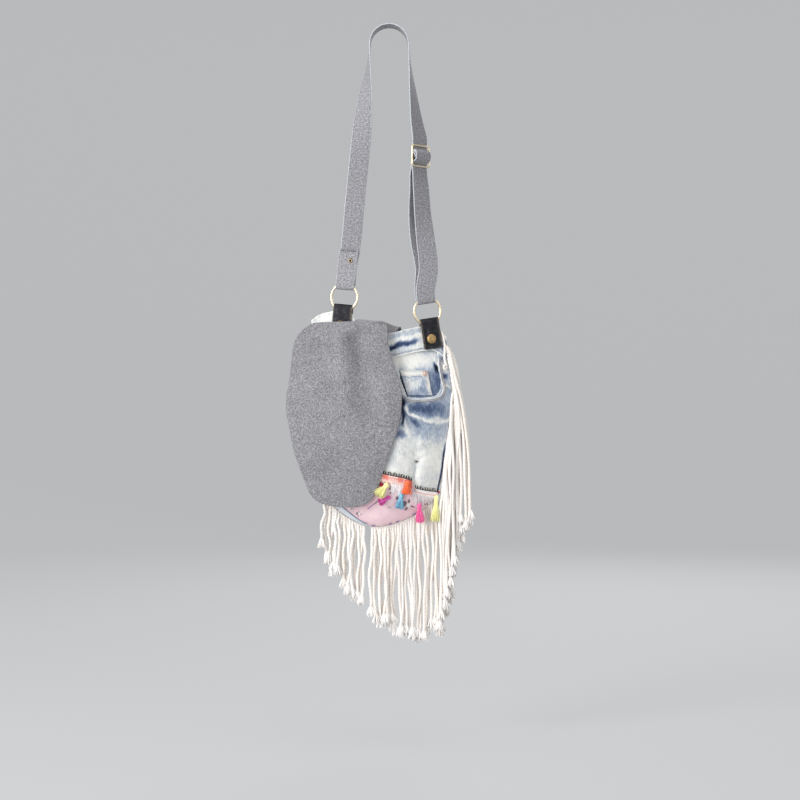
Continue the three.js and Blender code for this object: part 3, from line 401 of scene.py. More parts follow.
def threadMaterial(name, tones):
    # spun thread or rope: fine fibres along each strand, soft and matt, each strand a shade of its own
    material, tree, shader = newMaterial(
        name, {"Roughness": 0.9, "Sheen Weight": 0.1, "Specular IOR Level": 0.2})
    place = addNode(tree, "TexCoord", out="Object")
    # 2.4 mm tufts
    fibre = addNode(tree, "TexNoise", {"Vector": place, "Scale": 420, "Detail": 4, "Roughness": 0.7})
    own = addNode(tree, "Attribute", attribute_name="shade", out="Fac")
    mixed = addNode(tree, "Math", {0: fibre, 1: own}, operation="ADD")
    base = addNode(tree, "ValToRGB", {"Fac": mixed}, tones)
    bump = addNode(tree, "Bump", {"Height": fibre, "Strength": 0.35, "Distance": 0.0006})
    setSockets(tree, shader, {"Base Color": base, "Normal": bump})
    return material


greyTones = [(0.26, "#4c4b4e"), (0.4, "#727174"), (0.52, "#8c8b8e"), (0.63, "#a5a4a7"), (0.78, "#cfced1")]
feltGrey = feltMaterial("woolFeltGrey", greyTones, 0.0023)  # flecks drawn 2.3 mm so that they show
strapWool = strapMaterial()
denimTwill = denimMaterial()
pinkCotton = cottonMaterial("pinkPrintedCotton", [(0.3, "#e9c3cd"), (0.7, "#f3d9de")],
                            [("leaf", "#45464f"), ("bloom", "#f8f2f3"), ("mark", "#8a62a6")])
bandCotton = cottonMaterial("greyBlueCotton", [(0.3, "#c3cad4"), (0.7, "#e0e5eb")])
pipeCotton = cottonMaterial("darkGreyBlueCotton", [(0.3, "#7f8797"), (0.7, "#a2a9b7")])
coralLace = cottonMaterial("coralLace", [(0.3, "#f2d0c8"), (0.7, "#fae6e0")],
                           [("coral", "#e4634c"), ("crimson", "#a5233c")])
whiteLace = cottonMaterial("whiteLace", [(0.3, "#efe6e6"), (0.7, "#fbf7f6")], [("coral", "#f0957c")])
blackLeather = leatherMaterial()
paleGold = metalMaterial("paleGoldPlate", [(0.3, "#e8d6b6"), (0.7, "#f6e8cd")], (0.34, 0.46), 0.0008)
oldBrass = metalMaterial("antiqueBrass", [(0.3, "#8a7150"), (0.55, "#bd9d6d"), (0.75, "#d9bf95")],
                         (0.45, 0.6), 0.0009)
# a darker copy of the antique brass: painted shade for the stud that sits in the flap's shadow
shadedBrass = metalMaterial("shadedBrass", [(0.3, "#3d3427"), (0.7, "#6f5f47")], (0.5, 0.66), 0.0009)
darkBrass = metalMaterial("darkenedBrass", [(0.3, "#7d6d53"), (0.7, "#b5a583")], (0.35, 0.55), 0.0009)
dullCopper = metalMaterial("dullCopper", [(0.3, "#b99d93"), (0.7, "#e0cdc5")], (0.32, 0.5), 0.0009)
creamRope = threadMaterial("creamCottonRope", [(0.25, "#e4dad0"), (0.5, "#f3ece5"), (0.8, "#fdfaf8")])
blackThread = threadMaterial("blackOverlockThread", [(0.3, "#17161a"), (0.8, "#3b393f")])
seamThread = threadMaterial("paleSeamThread", [(0.3, "#c9c2b6"), (0.8, "#efe9df")])
tanThread = threadMaterial("tanSeamThread", [(0.3, "#87766b"), (0.8, "#b3a297")])
greyThread = threadMaterial("greySeamThread", [(0.3, "#4c4b51"), (0.8, "#6d6c73")])
lilacThread = threadMaterial("lilacWhiteThread", [(0.25, "#e6d8e0"), (0.5, "#f8f0f2"), (0.8, "#fffdfd")])
crimsonThread = threadMaterial("crimsonThread", [(0.3, "#7d1026"), (0.8, "#b52340")])
leatherThread = threadMaterial("darkGreyThread", [(0.3, "#5c564f"), (0.8, "#8b8178")])
tasselTones = {
    "yellow": ("#eae489", "#f9f6b2", "#fefcd8"), "magenta": ("#bd3590", "#ea66bb", "#f49bd4"),
    "orange": ("#e8552a", "#fb7f4e", "#fda583"), "blue": ("#67a5c6", "#8ec3dc", "#bde0ee"),
    "pink": ("#ea4f96", "#fc7db6", "#feacd0"), "lemon": ("#ece78f", "#faf7b6", "#fefddc"),
}
tasselThreads = {colour: threadMaterial(colour + "Thread", list(zip((0.3, 0.55, 0.85), tones)))
                 for colour, tones in tasselTones.items()}
print("materials made")


# Pouch: the side seams, bulge and fullness from the rim (down 0) to the bottom seam (down 1)
pouch = dict(shift=np.array([0.0, 5.0, -486.0]), seamHalf=3, seamClear=0.15, gap=0.3,
             felt=2.6, denim=1.8, bandCloth=2.8, cotton=1.5, leather=2.4, webbing=2.2,
             waistbandDepth=38, hemLevel=0.78, normalReach=0.004, searchSteps=20)
pouchRows = table(
    "down left right front back full",
    (0, -126, 93, 20, 16, 1.4), (0.12, -122, 95, 21, 17, 1.3), (0.28, -120, 99, 29, 23, 1.0),
    (0.42, -121, 102, 34, 27, 0.85), (0.58, -121, 97, 37, 29, 0.8), (0.72, -118, 92, 36, 28, 0.8),
    (0.84, -113, 88, 30, 23, 0.8), (0.93, -108, 83, 20, 15, 0.8), (0.98, -105, 80, 10, 7, 0.8),
    (1, -104, 79, 0, 0, 0.8),
)
rimRows = table(
    "across front back bottom",
    (0, 10, 6, -272), (0.05, 18, 11, -283), (0.11, 22.5, 16, -295), (0.19, 25, 21, -306),
    (0.265, 22, 17, -314), (0.307, 19, 9, -317.8), (0.338, 4, 1, -320.2), (0.45, -8, -6, -324),
    (0.57, -11, -7, -321), (0.7, -5, -7, -313), (0.81, 0, -6, -303), (0.88, 1, -6, -294),
    (0.95, -6, -9, -283), (1, -16, -16, -270),
)
hemRows = table("x z", (-122, -214), (-60, -224), (-6, -237), (37, -248.5), (42.5, -260), (90, -269))
# folds of the soft front along a line: five main ones, then the finer creases of worn denim
foldRows = table(
    "fromX fromZ toX toZ wide high",
    (16, -133, 68, -154, 9, 3), (20, -154, 84, -178, 10, -3), (46, -204, 37, -262, 8, -5),
    (8, -232, 22, -176, 12, 2.5), (66, -250, 62, -190, 13, 2.5),
    (25, -125, 33, -139, 3, 1.4), (33, -139, 49, -148, 3, 1.5), (49, -148, 79, -156, 3.2, 1.3),
    (79, -156, 100, -147, 3.2, 1.3), (21, -142, 34, -180, 2.6, 1.2), (32, -146, 47, -164, 2.6, -1.2),
    (45, -218, 28, -204, 3, -1.1), (45, -218, 64, -206, 3, -1.1), (45, -218, 40, -250, 2.6, -1.6),
    (45, -212, 52, -186, 4, 1.2), (74, -216, 88, -238, 5, 0.9), (14, -214, 30, -236, 5, -0.9),
    (56, -172, 90, -192, 4, 0.9), (2, -31, 36, -29, 5, -0.8), (60, -196, 84, -204, 4, -0.8),
)
seamLeft, seamRight = curveOf(pouchRows, "down", "left"), curveOf(pouchRows, "down", "right")
bulge = {side: curveOf(pouchRows, "down", side) for side in ("front", "back")}
fullness = curveOf(pouchRows, "down", "full")
rim = {side: curveOf(rimRows, "across", side) for side in ("front", "back")}
bottomSeam = curveOf(rimRows, "across", "bottom")
hem = curveOf(hemRows, "x", "z")


def foldHeight(x, z):  # each fold falls off as a bell curve of the distance to its line
    height = 0
    for fromX, fromZ, toX, toZ, wide, high in rowsOf(foldRows):
        lineX, lineZ = toX - fromX, toZ - fromZ
        along = np.clip(((x - fromX) * lineX + (z - fromZ) * lineZ) / (lineX ** 2 + lineZ ** 2), 0, 1)
        height = height + high * bell(np.hypot(x - fromX - lineX * along, z - fromZ - lineZ * along), wide)
    return height


def pouchPoint(side, across, down):
    # across lies between the seams, down from rim to bottom; depth is the bulge times a power of a sine
    away = -1 if side == "front" else 1
    rounded = np.abs(np.sin(np.pi * np.clip(across, 0, 1))) ** fullness(down)
    x = lerp(seamLeft(down), seamRight(down), across)
    z = lerp(rim[side](across), bottomSeam(across), down)
    depth = pouch["seamHalf"] + bulge[side](down) * rounded
    if side == "front":
        depth = depth + foldHeight(x, z) * rounded
    return pointsAt(x, away * depth, z) + pouch["shift"]


def keepSide(side, points):  # cloth never passes the plane of the seam
    x, y, z = np.moveaxis(points, -1, 0)
    plane, clear = pouch["shift"][1], pouch["seamClear"]
    return pointsAt(x, np.minimum(y, plane - clear) if side == "front" else np.maximum(y, plane + clear), z)


def pouchNormal(side, across, down):  # square to one small step sideways and one down
    reach = pouch["normalReach"]
    sideways = pouchPoint(side, np.minimum(across + reach, 0.999), down) - pouchPoint(
        side, np.maximum(across - reach, 0.001), down)
    downwards = pouchPoint(side, across, np.minimum(down + reach, 0.999)) - pouchPoint(
        side, across, np.maximum(down - reach, 0))
    return unit(np.cross(downwards, sideways)) * (1 if side == "front" else -1)


def pouchLift(side, across, down, lift):  # the pouch moved out along its normal
    return keepSide(side, pouchPoint(side, across, down) +
                    pouchNormal(side, across, down) * np.asarray(lift, float)[..., None])


def frontPlace(x, z):  # where the front has that place in the front view, closed in on step by step
    x, z = np.broadcast_arrays(np.asarray(x, float), np.asarray(z, float))
    down = np.full(x.shape, 0.5)
    for _ in range(pouch["searchSteps"]):
        across = np.clip((x - seamLeft(down)) / (seamRight(down) - seamLeft(down)), 0, 1)
        down = np.clip((rim["front"](across) - z) / (rim["front"](across) - bottomSeam(across)), 0, 1)
    return across, down


def onFront(x, z, lift):
    return pouchLift("front", *frontPlace(x, z), lift)


def frontOut(x, z):
    return pouchNormal("front", *frontPlace(x, z))


def frontView(points):  # front view place of points, in the pouch's own millimetres
    local = points - pouch["shift"]
    return local[..., 0], local[..., 2]


def downStep(across, size):  # millimetres as a share of the way from rim to bottom
    return size / (rim["front"](across) - bottomSeam(across))


def bandDown(across):
    return downStep(across, pouch["waistbandDepth"])


def hemDown(across):
    x = lerp(seamLeft(pouch["hemLevel"]), seamRight(pouch["hemLevel"]), across)
    return downStep(across, rim["front"](across) - hem(x))


def paint(rows, x, z, tone):
    # strokes laid one over the other: each pulls the tone to its own inside a soft, waved, turned ellipse
    x, z = (x + 1.6 * np.sin(z / 4.1 + x / 9) + 0.7 * np.sin(x / 1.9 + z / 2.7),
            z + 1.1 * np.sin(x / 4.7 + 1) + 0.6 * np.sin(x / 1.7 - z / 3.1))
    for centreX, centreZ, wide, high, turn, own in rowsOf(rows):
        cos, sin = np.cos(np.radians(turn)), np.sin(np.radians(turn))
        alongX = ((x - centreX) * cos + (z - centreZ) * sin) / wide
        alongZ = ((z - centreZ) * cos - (x - centreX) * sin) / high
        tone = lerp(tone, own, np.exp(-(alongX ** 2 + alongZ ** 2) ** 1.4))
    return tone


def clothPiece(name, middle, half, material, values=None, keep=None, side="front"):
    # a sheet kept on its own side of the seam
    points, faces = sheetOf(middle, half, keep)
    points = keepSide(side, points) if side else points
    doubled = {key: np.tile(value.ravel(), 2) for key, value in (values or {}).items()}
    piece = addPiece(name, (points, faces), material, True, values=doubled)


# Back panel of felt
backPanel = dict(columns=70, rows=100, edges=(0.006, 0.004), flat=(0.25, 0.36), area=0.066)
across, down, thick = softGrid(backPanel)
clothPiece("back_panel", pouchLift("back", 1 - across, down, -pouch["felt"] / 2), thick * pouch["felt"] / 2,
           feltGrey, side="back")

# Waistband of washed denim, puckered along both seams, with a painted shadow beside the lower one
waistband = dict(columns=210, rows=34, edges=(0.006, 0.03), flat=(0.232, 0.038), pucker=0.35, puckerLong=11,
                 seams=[(0.93, 0.1), (0.06, 0.08)], tone=0.14, seamTone=0.6, shadowAt=0.945, shadowWide=0.03)
waistbandWashAndShade = table(
    "x z wide high turn tone",
    (24, -12, 50, 6.5, 12, 0.34), (46, -9, 9, 3.5, 12, 0.42), (22, -21, 40, 4.2, 13, 0.02),
    # the last stroke on this line, at the smear's lower left end by the flap, is a painted shadow, darker
    # than the smear
    (24, -28.5, 27, 5.6, 14, 0.66), (19, -30, 22, 3.7, 14, 1.0), (4, -35, 8, 3.4, 14, 1.15),
    (22, -41, 24, 5, 10, 0.32), (45, -34, 12, 5, 10, 0.14), (80, -42, 12, 7, -20, 0.45),
    (89, -36, 5, 13, 0, 0.85), (-100, 8, 40, 24, 0, 0.04), (-116, 2, 9, 14, 0, 0.2),
)
across, share, thick = softGrid(waistband)
down = share * bandDown(across)
x, z = frontView(pouchLift("front", across, down, 0))
seamNear = sum(bell(share - at, wide) for at, wide in waistband["seams"])
ripple = waistband["pucker"] * np.sin(2 * np.pi * x / waistband["puckerLong"] + 3 * np.sin(x / 17)) * seamNear
# painted shadow: a dark line along the waistband's bottom edge, just above its lower seam
seamShadow = waistband["seamTone"] * bell(share - waistband["shadowAt"], waistband["shadowWide"])
clothPiece("waistband", pouchLift("front", across, down, ripple), thick * pouch["bandCloth"] / 2, denimTwill,
           dict(washAndShade=np.maximum(paint(waistbandWashAndShade, x, z, waistband["tone"]), seamShadow)))

# Denim front with the pocket mouth scooped out of it and a painted shadow of the gap low on its right seam
frontPanel = dict(columns=172, rows=176, flat=(0.25, 0.245), area=0.0404, tone=0.16, mouthInset=1.2,
                  gapTone=1.3, gapAt=0.986, gapWide=0.01, gapFrom=175, gapFull=210)
pocketMouth = table("x z", (6, -20), (78, -20), (79, -60), (84, -84), (85, -101), (77, -113), (55, -117),
                    (28, -115), (17, -86))
# strokes of the wash, with painted shade among them: dark strokes beside the flap's edge for its shadow, and
# grey ones for shade under creases and beside a pucker
frontWashAndShade = table(
    "x z wide high turn tone",
    (30, -58, 60, 15, 0, 0.03), (86, -112, 34, 50, 0, 0.38), (84, -51, 7, 6, -25, 0.6),
    (89, -80, 6, 5, -20, 1.0), (96, -104, 6, 12, 0, 0.5), (90, -93, 12, 2.2, -32, 0.05),
    # the last stroke on this line is a painted shadow of the flap on the denim beside its edge
    (60, -160, 46, 22, -4, 0.3), (58, -144, 42, 20, -4, 0.56), (19, -134, 8, 22, 0, 1.0),
    (64, -132, 40, 10.5, 0, 0.76), (54, -132, 28, 6.5, -1, 0.9), (96, -133, 7, 13, 0, 0.5),
    (80, -151, 18, 4, -6, 0.22), (64, -170, 27, 14, 0, 0.46), (40, -155, 13, 3.6, -49, 0.85),
    (18, -174, 9, 6.5, -35, 0.8), (29, -132.5, 9.5, 2, -62, 0.0), (41, -144, 11, 2.1, -29, 0.0),
    (64, -152, 17, 2.5, -15, 0.02), (89, -152, 13, 2.6, 23, 0.05), (28, -161, 21, 2.2, -71, 0.05),
    # the first stroke on this line is a painted shadow too, darkest right at the flap's edge
    (20, -150, 10, 2, -80, 0.05), (21, -127, 3.4, 13, 5, 1.32), (42, -228, 90, 38, 0, 0.1),
    (62, -248, 20, 10, 0, 0.2), (30, -212, 16, 9, 0, 0.02), (70, -214, 16, 14, 0, 0.02),
    # the second stroke on this line is painted shade beside a pucker
    (4, -205, 9, 22, 0, 0.22), (41, -242, 2.4, 17, 8, 0.26), (49, -216, 4, 1.6, 20, 0),
    (40, -212, 9, 1.8, -55, 0.0), (50, -211, 7, 1.3, 48, 0.34), (45, -218, 3.2, 1.3, -10, 1.3),
    # the first stroke on this line is a painted shadow of the flap; the other two are painted grey shade just
    # under creases
    (22, -148, 1.8, 12, 2, 1.3), (27, -195, 19, 1.8, -43, 0.28), (22, -206, 13, 1.7, -28, 0.24),
    # these two strokes are painted grey shade just under creases too
    (68, -188, 15, 1.7, 10, 0.24), (66, -226, 12, 1.6, -6, 0.22),
)


def insideOf(outline, x, z, inset):
    # inside is where a level line crosses the outline, drawn in by inset, an odd number of times
    centreX, centreZ = outline["x"].mean(), outline["z"].mean()
    reach = np.hypot(outline["x"] - centreX, outline["z"] - centreZ)
    edgeX = centreX + (outline["x"] - centreX) * (1 - inset / reach)
    edgeZ = centreZ + (outline["z"] - centreZ) * (1 - inset / reach)
    crossings = np.zeros(x.shape, int)
    for x0, z0, x1, z1 in zip(edgeX, edgeZ, np.roll(edgeX, -1), np.roll(edgeZ, -1)):
        spans = (z0 > z) != (z1 > z)
        meets = x0 + (z - z0) * (x1 - x0) / np.where(z1 == z0, 1e-9, z1 - z0)
        crossings += spans & (x < meets)
    return crossings % 2 == 1


across, share = np.meshgrid(np.linspace(0, 1, frontPanel["columns"]), np.linspace(0, 1, frontPanel["rows"]))
down = lerp(bandDown(across) + downStep(across, pouch["gap"]), hemDown(across), share)
middle = pouchLift("front", across, down, -pouch["denim"] / 2)
x, z = frontView(middle)
# painted shadow: a dark line on the denim beside the gap between it and the fringe, low on the right seam
seamGapShadow = frontPanel["gapTone"] * bell(across - frontPanel["gapAt"], frontPanel["gapWide"]) * smooth(
    -z, frontPanel["gapFrom"], frontPanel["gapFull"])
clothPiece("front_panel", middle, pouch["denim"] / 2, denimTwill,
           dict(washAndShade=np.maximum(paint(frontWashAndShade, x, z, frontPanel["tone"]), seamGapShadow)),
           keep=lambda centre: ~insideOf(pocketMouth, *frontView(centre), frontPanel["mouthInset"]))

# Pocket facing inside the mouth
facing = dict(left=-4, right=91, top=-39, bottom=-121, sunk=0.8, columns=70, rows=64, edges=(0.01, 0.01),
              flat=(0.1, 0.085), tone=0.66)
facingWashAndShade = table(
    "x z wide high turn tone",
    (34, -54, 64, 18, 2, 0.02), (78, -94, 9, 26, 0, 0.8), (72, -60, 7, 6, -30, 0.1),
    # the last stroke on this line is a painted shadow: a black line down the left side of the pocket mouth
    (75.5, -67, 2.6, 9, 20, 1.3), (20, -94, 26, 4.5, -65, 1.3),
)
across, share, thick = softGrid(facing)
x, z = lerp(facing["left"], facing["right"], across), lerp(facing["top"], facing["bottom"], share)
clothPiece("pocket_facing", onFront(x, z, -pouch["denim"] - facing["sunk"] - pouch["cotton"] / 2),
           thick * pouch["cotton"] / 2, denimTwill,
           dict(washAndShade=paint(facingWashAndShade, x, z, facing["tone"])))

# Coin pocket on the facing, with a proud hem along its top
coinPocket = dict(topLeft=17, topRight=62, lowLeft=30, lowRight=70, top=-71, bottom=-111, columns=50, rows=46,
                  edges=(0.02, 0.03), thick=2.3, hemHigh=10, hemStep=0.8, hemProud=0.5, flat=(0.046, 0.04),
                  tone=0.34)
coinWash = table(
    "x z wide high turn tone",
    (40, -76, 36, 5.6, -2, 0.05), (56, -104, 18, 6, 8, 0.6), (38, -93, 12, 9, 0, 0.14),
    (64, -94, 2, 14, 14, 0.04), (57, -95, 4, 10, 8, 0.48), (36, -108, 8, 3, 0, 0.4),
    (40, -81.3, 34, 0.9, -1, 0.5),
)
across, share, thick = softGrid(coinPocket)
x = lerp(lerp(coinPocket["topLeft"], coinPocket["lowLeft"], share),
         lerp(coinPocket["topRight"], coinPocket["lowRight"], share), across)
z = lerp(coinPocket["top"], coinPocket["bottom"], share)
hemShare = smooth(coinPocket["top"] - z, coinPocket["hemHigh"] + coinPocket["hemStep"], coinPocket["hemHigh"])
clothPiece("coin_pocket", onFront(x, z, -coinPocket["thick"] / 2 + coinPocket["hemProud"] * hemShare),
           thick * coinPocket["thick"] / 2, denimTwill,
           dict(washAndShade=paint(coinWash, x, z, coinPocket["tone"])))


def besideWay(route):  # unit direction to the right of a front view route
    along = unit(np.gradient(route, axis=0))
    return np.stack([along[:, 1], -along[:, 0]], -1)


# Stitched lip round the pocket mouth: a rounded strip beside its route, lifted off the cloth
pocketLip = dict(wide=3.9, thick=1.4, lift=0.15, sides=16, steps=170, tone=0.5, square=0.7, centre=0.42)
lipRoute = smoothPath([(79, -50), (80, -62), (83, -84), (86.5, -101), (84, -110), (73, -115.5), (52, -117.5),
                       (30, -116.5), (23.5, -112)], pocketLip["steps"])
lipWash = table("x z wide high turn tone", (86, -98, 6, 9, 0, 0.2), (23, -112, 6, 5, 24, 0.5),
                (56, -119.5, 34, 1.3, 0, 0.3))
loop = roundProfile(1, pocketLip["sides"])
aside, above = (np.sign(loop) * np.abs(loop) ** pocketLip["square"]).T
offsets = -pocketLip["wide"] * (pocketLip["centre"] + 0.5 * aside)
lifts = pocketLip["lift"] + pocketLip["thick"] * (0.5 + 0.5 * above)
x, z = np.moveaxis(lipRoute[:, None] + besideWay(lipRoute)[:, None] * offsets[:, None], -1, 0)
addPiece("pocketLip", (onFront(x, z, lifts).reshape(-1, 3), tubeFaces(*x.shape)), denimTwill,
         values=dict(washAndShade=paint(lipWash, x, z, pocketLip["tone"] * loop[:, 1].clip(0, 1) ** 2)))

# Folded white seam under the waistband
waistSeam = dict(radius=1.0, sides=10, drop=0.9, lift=0.25, start=0.04, end=0.985, steps=220, tone=0.02)
across = np.linspace(waistSeam["start"], waistSeam["end"], waistSeam["steps"])
path = pouchLift("front", across, bandDown(across) + downStep(across, waistSeam["drop"]), waistSeam["lift"])
addPiece("waistSeam", threadMesh(path, waistSeam["radius"], waistSeam["sides"]), denimTwill,
         values=dict(washAndShade=waistSeam["tone"]))
print("denim made")


# Stitches: short bars of thread that dip into the cloth at both ends
def stitchRow(starts, ends, out, radius):
    share = np.array([0, 0.18, 0.5, 0.82, 1])[:, None]
    arch = np.array([-0.6, 0.5, 0.8, 0.5, -0.6])[:, None] * radius
    swell = np.array([0.5, 1, 1.05, 1, 0.5])[:, None, None]
    outward = np.broadcast_to(out, starts.shape)[:, None]
    path = starts[:, None] + (ends - starts)[:, None] * share + outward * arch
    return sweep(path, np.cross(unit(ends - starts)[:, None], outward), outward,
                 roundProfile(radius, 6) * swell)


def stitchesIn(frameOf, starts, step, out, radius):  # stitches of one step each, in a frame of their own
    matrix, origin = frameOf
    return stitchRow(placed(starts, matrix, origin), placed(starts + step, matrix, origin), matrix @ out,
                     radius)


def stitchesOnFront(route, lift, stitch):
    # stitches along a front view route, each three times as long as the gap after it
    length = np.linalg.norm(np.diff(route, axis=0), axis=1).sum()
    line = smoothPath(route, int(length / stitch["pitch"]) * 4 + 1)
    start, end = line[:-3:4], line[3::4]
    middle = (start + end) / 2
    return stitchRow(onFront(*start.T, lift), onFront(*end.T, lift), frontOut(*middle.T), stitch["radius"])


def bandRow(share):  # a front view route along the waistband at a share of its depth
    across = np.linspace(0.02, 0.985, 60)
    return np.stack(frontView(pouchPoint("front", across, bandDown(across) * share)), -1)


denimStitch = dict(pitch=3.3, radius=0.48)
coinTop = np.array([(coinPocket["topLeft"], coinPocket["top"]), (coinPocket["topRight"], coinPocket["top"])],
                   float)
coinSide = np.array([(coinPocket["topRight"], coinPocket["top"] - 8),
                     (coinPocket["lowRight"], coinPocket["bottom"])])
denimRows = [  # route and lift
    (bandRow(0.07), 1.4), (bandRow(0.9), 1.4), (coinTop + (1, -1.5), 0.65), (coinTop + (2, -8.6), 0.65),
    (coinSide + (-1.6, 0), 0.15), (coinSide + (-5, 0), 0.15),
]
lipRows = [(lipRoute - besideWay(lipRoute) * 1.4, 1.75), (lipRoute - besideWay(lipRoute) * 4.1, 1.35)]
for name, rows, thread, slot in (("denimStitching", denimRows, seamThread, "pale_denim"),
                                 ("lipStitching", lipRows, tanThread, "washed_denim")):
    addPiece(name, joinMeshes(*[stitchesOnFront(*row, denimStitch) for row in rows]), thread)

# Pink cotton base with a scattered sprig print
pinkPanel = dict(columns=212, rows=104, edges=(0.006, 0.01), flat=(0.22, 0.115), area=0.0148, leafInk=0.85,
                 bloomInk=0.9, markInk=0.8)
sprigRows = table(
    "x z long turn",
    (31, -288, 10.5, 20), (66, -286, 10, 70), (8, -264, 9, 45), (-48, -302, 5, 10), (-59, -296, 3.4, 60),
    (17, -276, 6.5, 0), (48, -270, 6, 30), (72, -271, 5, 15), (2, -292, 3, 35), (-30, -262, 6, 10),
    (-62, -252, 7, 50), (-88, -240, 6, 20), (-84, -270, 7, 75), (-100, -255, 6, 5), (-40, -235, 6, 25),
    (-14, -246, 6, 80), (-70, -280, 5, 40),
)
stem = dict(fromX=-35, fromZ=-294, toX=-16, toZ=-279, half=0.9)


def sprigPrint(x, z):
    # each sprig is a turned four-lobed rose curve of leaves with a small five-petalled bloom in its middle
    leaf, bloom = np.zeros(x.shape), np.zeros(x.shape)
    for centreX, centreZ, long, turn in rowsOf(sprigRows):
        radius = np.hypot(x - centreX, z - centreZ)
        angle = np.arctan2(z - centreZ, x - centreX) + np.radians(turn)
        petal = long * np.abs(np.cos(2 * angle + 0.7 * np.sin(3 * angle))) ** 1.4
        leaf = np.maximum(leaf, smooth(petal - radius, -0.5, 0.6) * smooth(radius, 0.3 * long, 0.42 * long))
        edge = 0.52 * long * (0.75 + 0.25 * np.cos(5 * angle)) - radius
        bloom = np.maximum(bloom, smooth(edge, -0.4, 0.5))
    return leaf, bloom * (1 - leaf)


across, share, thick = softGrid(pinkPanel)
down = lerp(hemDown(across) + downStep(across, pouch["gap"]), 1, share)
middle = pouchLift("front", across, down, -pouch["cotton"] / 2)
x, z = frontView(middle)
leaf, bloom = sprigPrint(x, z)
# one long stem, dark at its upper half and lilac at its lower, and lilac marks along the bottom seam
reach = np.array([stem["toX"] - stem["fromX"], stem["toZ"] - stem["fromZ"]])
gone = ((x - stem["fromX"]) * reach[0] + (z - stem["fromZ"]) * reach[1]) / (reach ** 2).sum()
aside = np.abs((x - stem["fromX"]) * reach[1] - (z - stem["fromZ"]) * reach[0]) / np.linalg.norm(reach)
line = smooth(stem["half"] - aside, -0.5, 0.5) * smooth(gone, 0, 0.05) * smooth(1 - gone, 0, 0.05)
leaf = np.maximum(leaf, line * smooth(gone, 0.45, 0.6))
edgeDistance = (1 - share) * (1 - hemDown(across)) * (rim["front"](across) - bottomSeam(across))
mark = smooth(np.sin(x / 5.3) + np.sin(x / 2.1 + 1), 0.5, 1.1) * smooth(3.2 - edgeDistance, -0.6, 0.6)
mark = np.maximum(mark, line * smooth(gone, 0.6, 0.45))
clothPiece("pink_panel", middle, thick * pouch["cotton"] / 2, pinkCotton,
           dict(leaf=leaf * pinkPanel["leafInk"], bloom=bloom * pinkPanel["bloomInk"],
                                 mark=mark * pinkPanel["markInk"]))

# Grey blue band on the lower left edge with a piped inner edge
edgeBand = dict(wideStart=27, wideEnd=2, inset=0.8, start=0.015, end=0.375, columns=120, rows=14,
                edges=(0.01, 0.08), flat=(0.014, 0.095), area=0.00079)
piping = dict(radius=0.9, sides=8, steps=90, aside=1, lift=1.1)


def bandWide(share):
    return lerp(edgeBand["wideStart"], edgeBand["wideEnd"], np.sqrt(share))


along, inward, thick = softGrid(edgeBand)
across = lerp(edgeBand["start"], edgeBand["end"], along)
down = 1 - downStep(across, edgeBand["inset"] + bandWide(along) * (1 - inward))
clothPiece("edge_band", pouchLift("front", across, down, pouch["gap"] + pouch["cotton"] / 2),
           thick * pouch["cotton"] / 2, bandCotton)
across = np.linspace(edgeBand["start"], edgeBand["end"], piping["steps"])
share = (across - edgeBand["start"]) / (edgeBand["end"] - edgeBand["start"])
path = pouchLift("front", across, 1 - downStep(across, edgeBand["inset"] + bandWide(share) + piping["aside"]),
                 piping["lift"])
addPiece("edgePiping", threadMesh(path, piping["radius"], piping["sides"]), pipeCotton)

# Darned nick in the leg: dark crossing stitches and a few frayed ends
nick = dict(x=45, z=-218, stitch=0.5, stitchLift=0.1, frays=14, long=(2.5, 6), thread=0.3, sides=5, steps=6,
            frayFlat=0.7, frayLift=0.15, frayArch=0.6)
crossed = np.array([(-2.4, 1.1, 2.2, -0.9), (-1.6, -1.4, 1.8, 1.5), (-3.2, -0.2, 0.6, 0.3)])
crossed = crossed + (nick["x"], nick["z"]) * 2
starts, ends = crossed[:, :2].T, crossed[:, 2:].T
lift = nick["stitchLift"]
darning = stitchRow(onFront(*starts, lift), onFront(*ends, lift), frontOut(*starts), nick["stitch"])
addPiece("nickStitches", darning, blackThread)
turn = draw.uniform(0, 2 * np.pi, nick["frays"])[:, None]
reach = draw.uniform(*nick["long"], nick["frays"])[:, None] * np.linspace(0.1, 1, nick["steps"])
path = onFront(nick["x"] + reach * np.cos(turn), nick["z"] + reach * np.sin(turn) * nick["frayFlat"],
               nick["frayLift"] + nick["frayArch"] * np.sin(np.linspace(0, np.pi, nick["steps"])))
addPiece("nickFray", threadMesh(path, nick["thread"], nick["sides"]), seamThread)

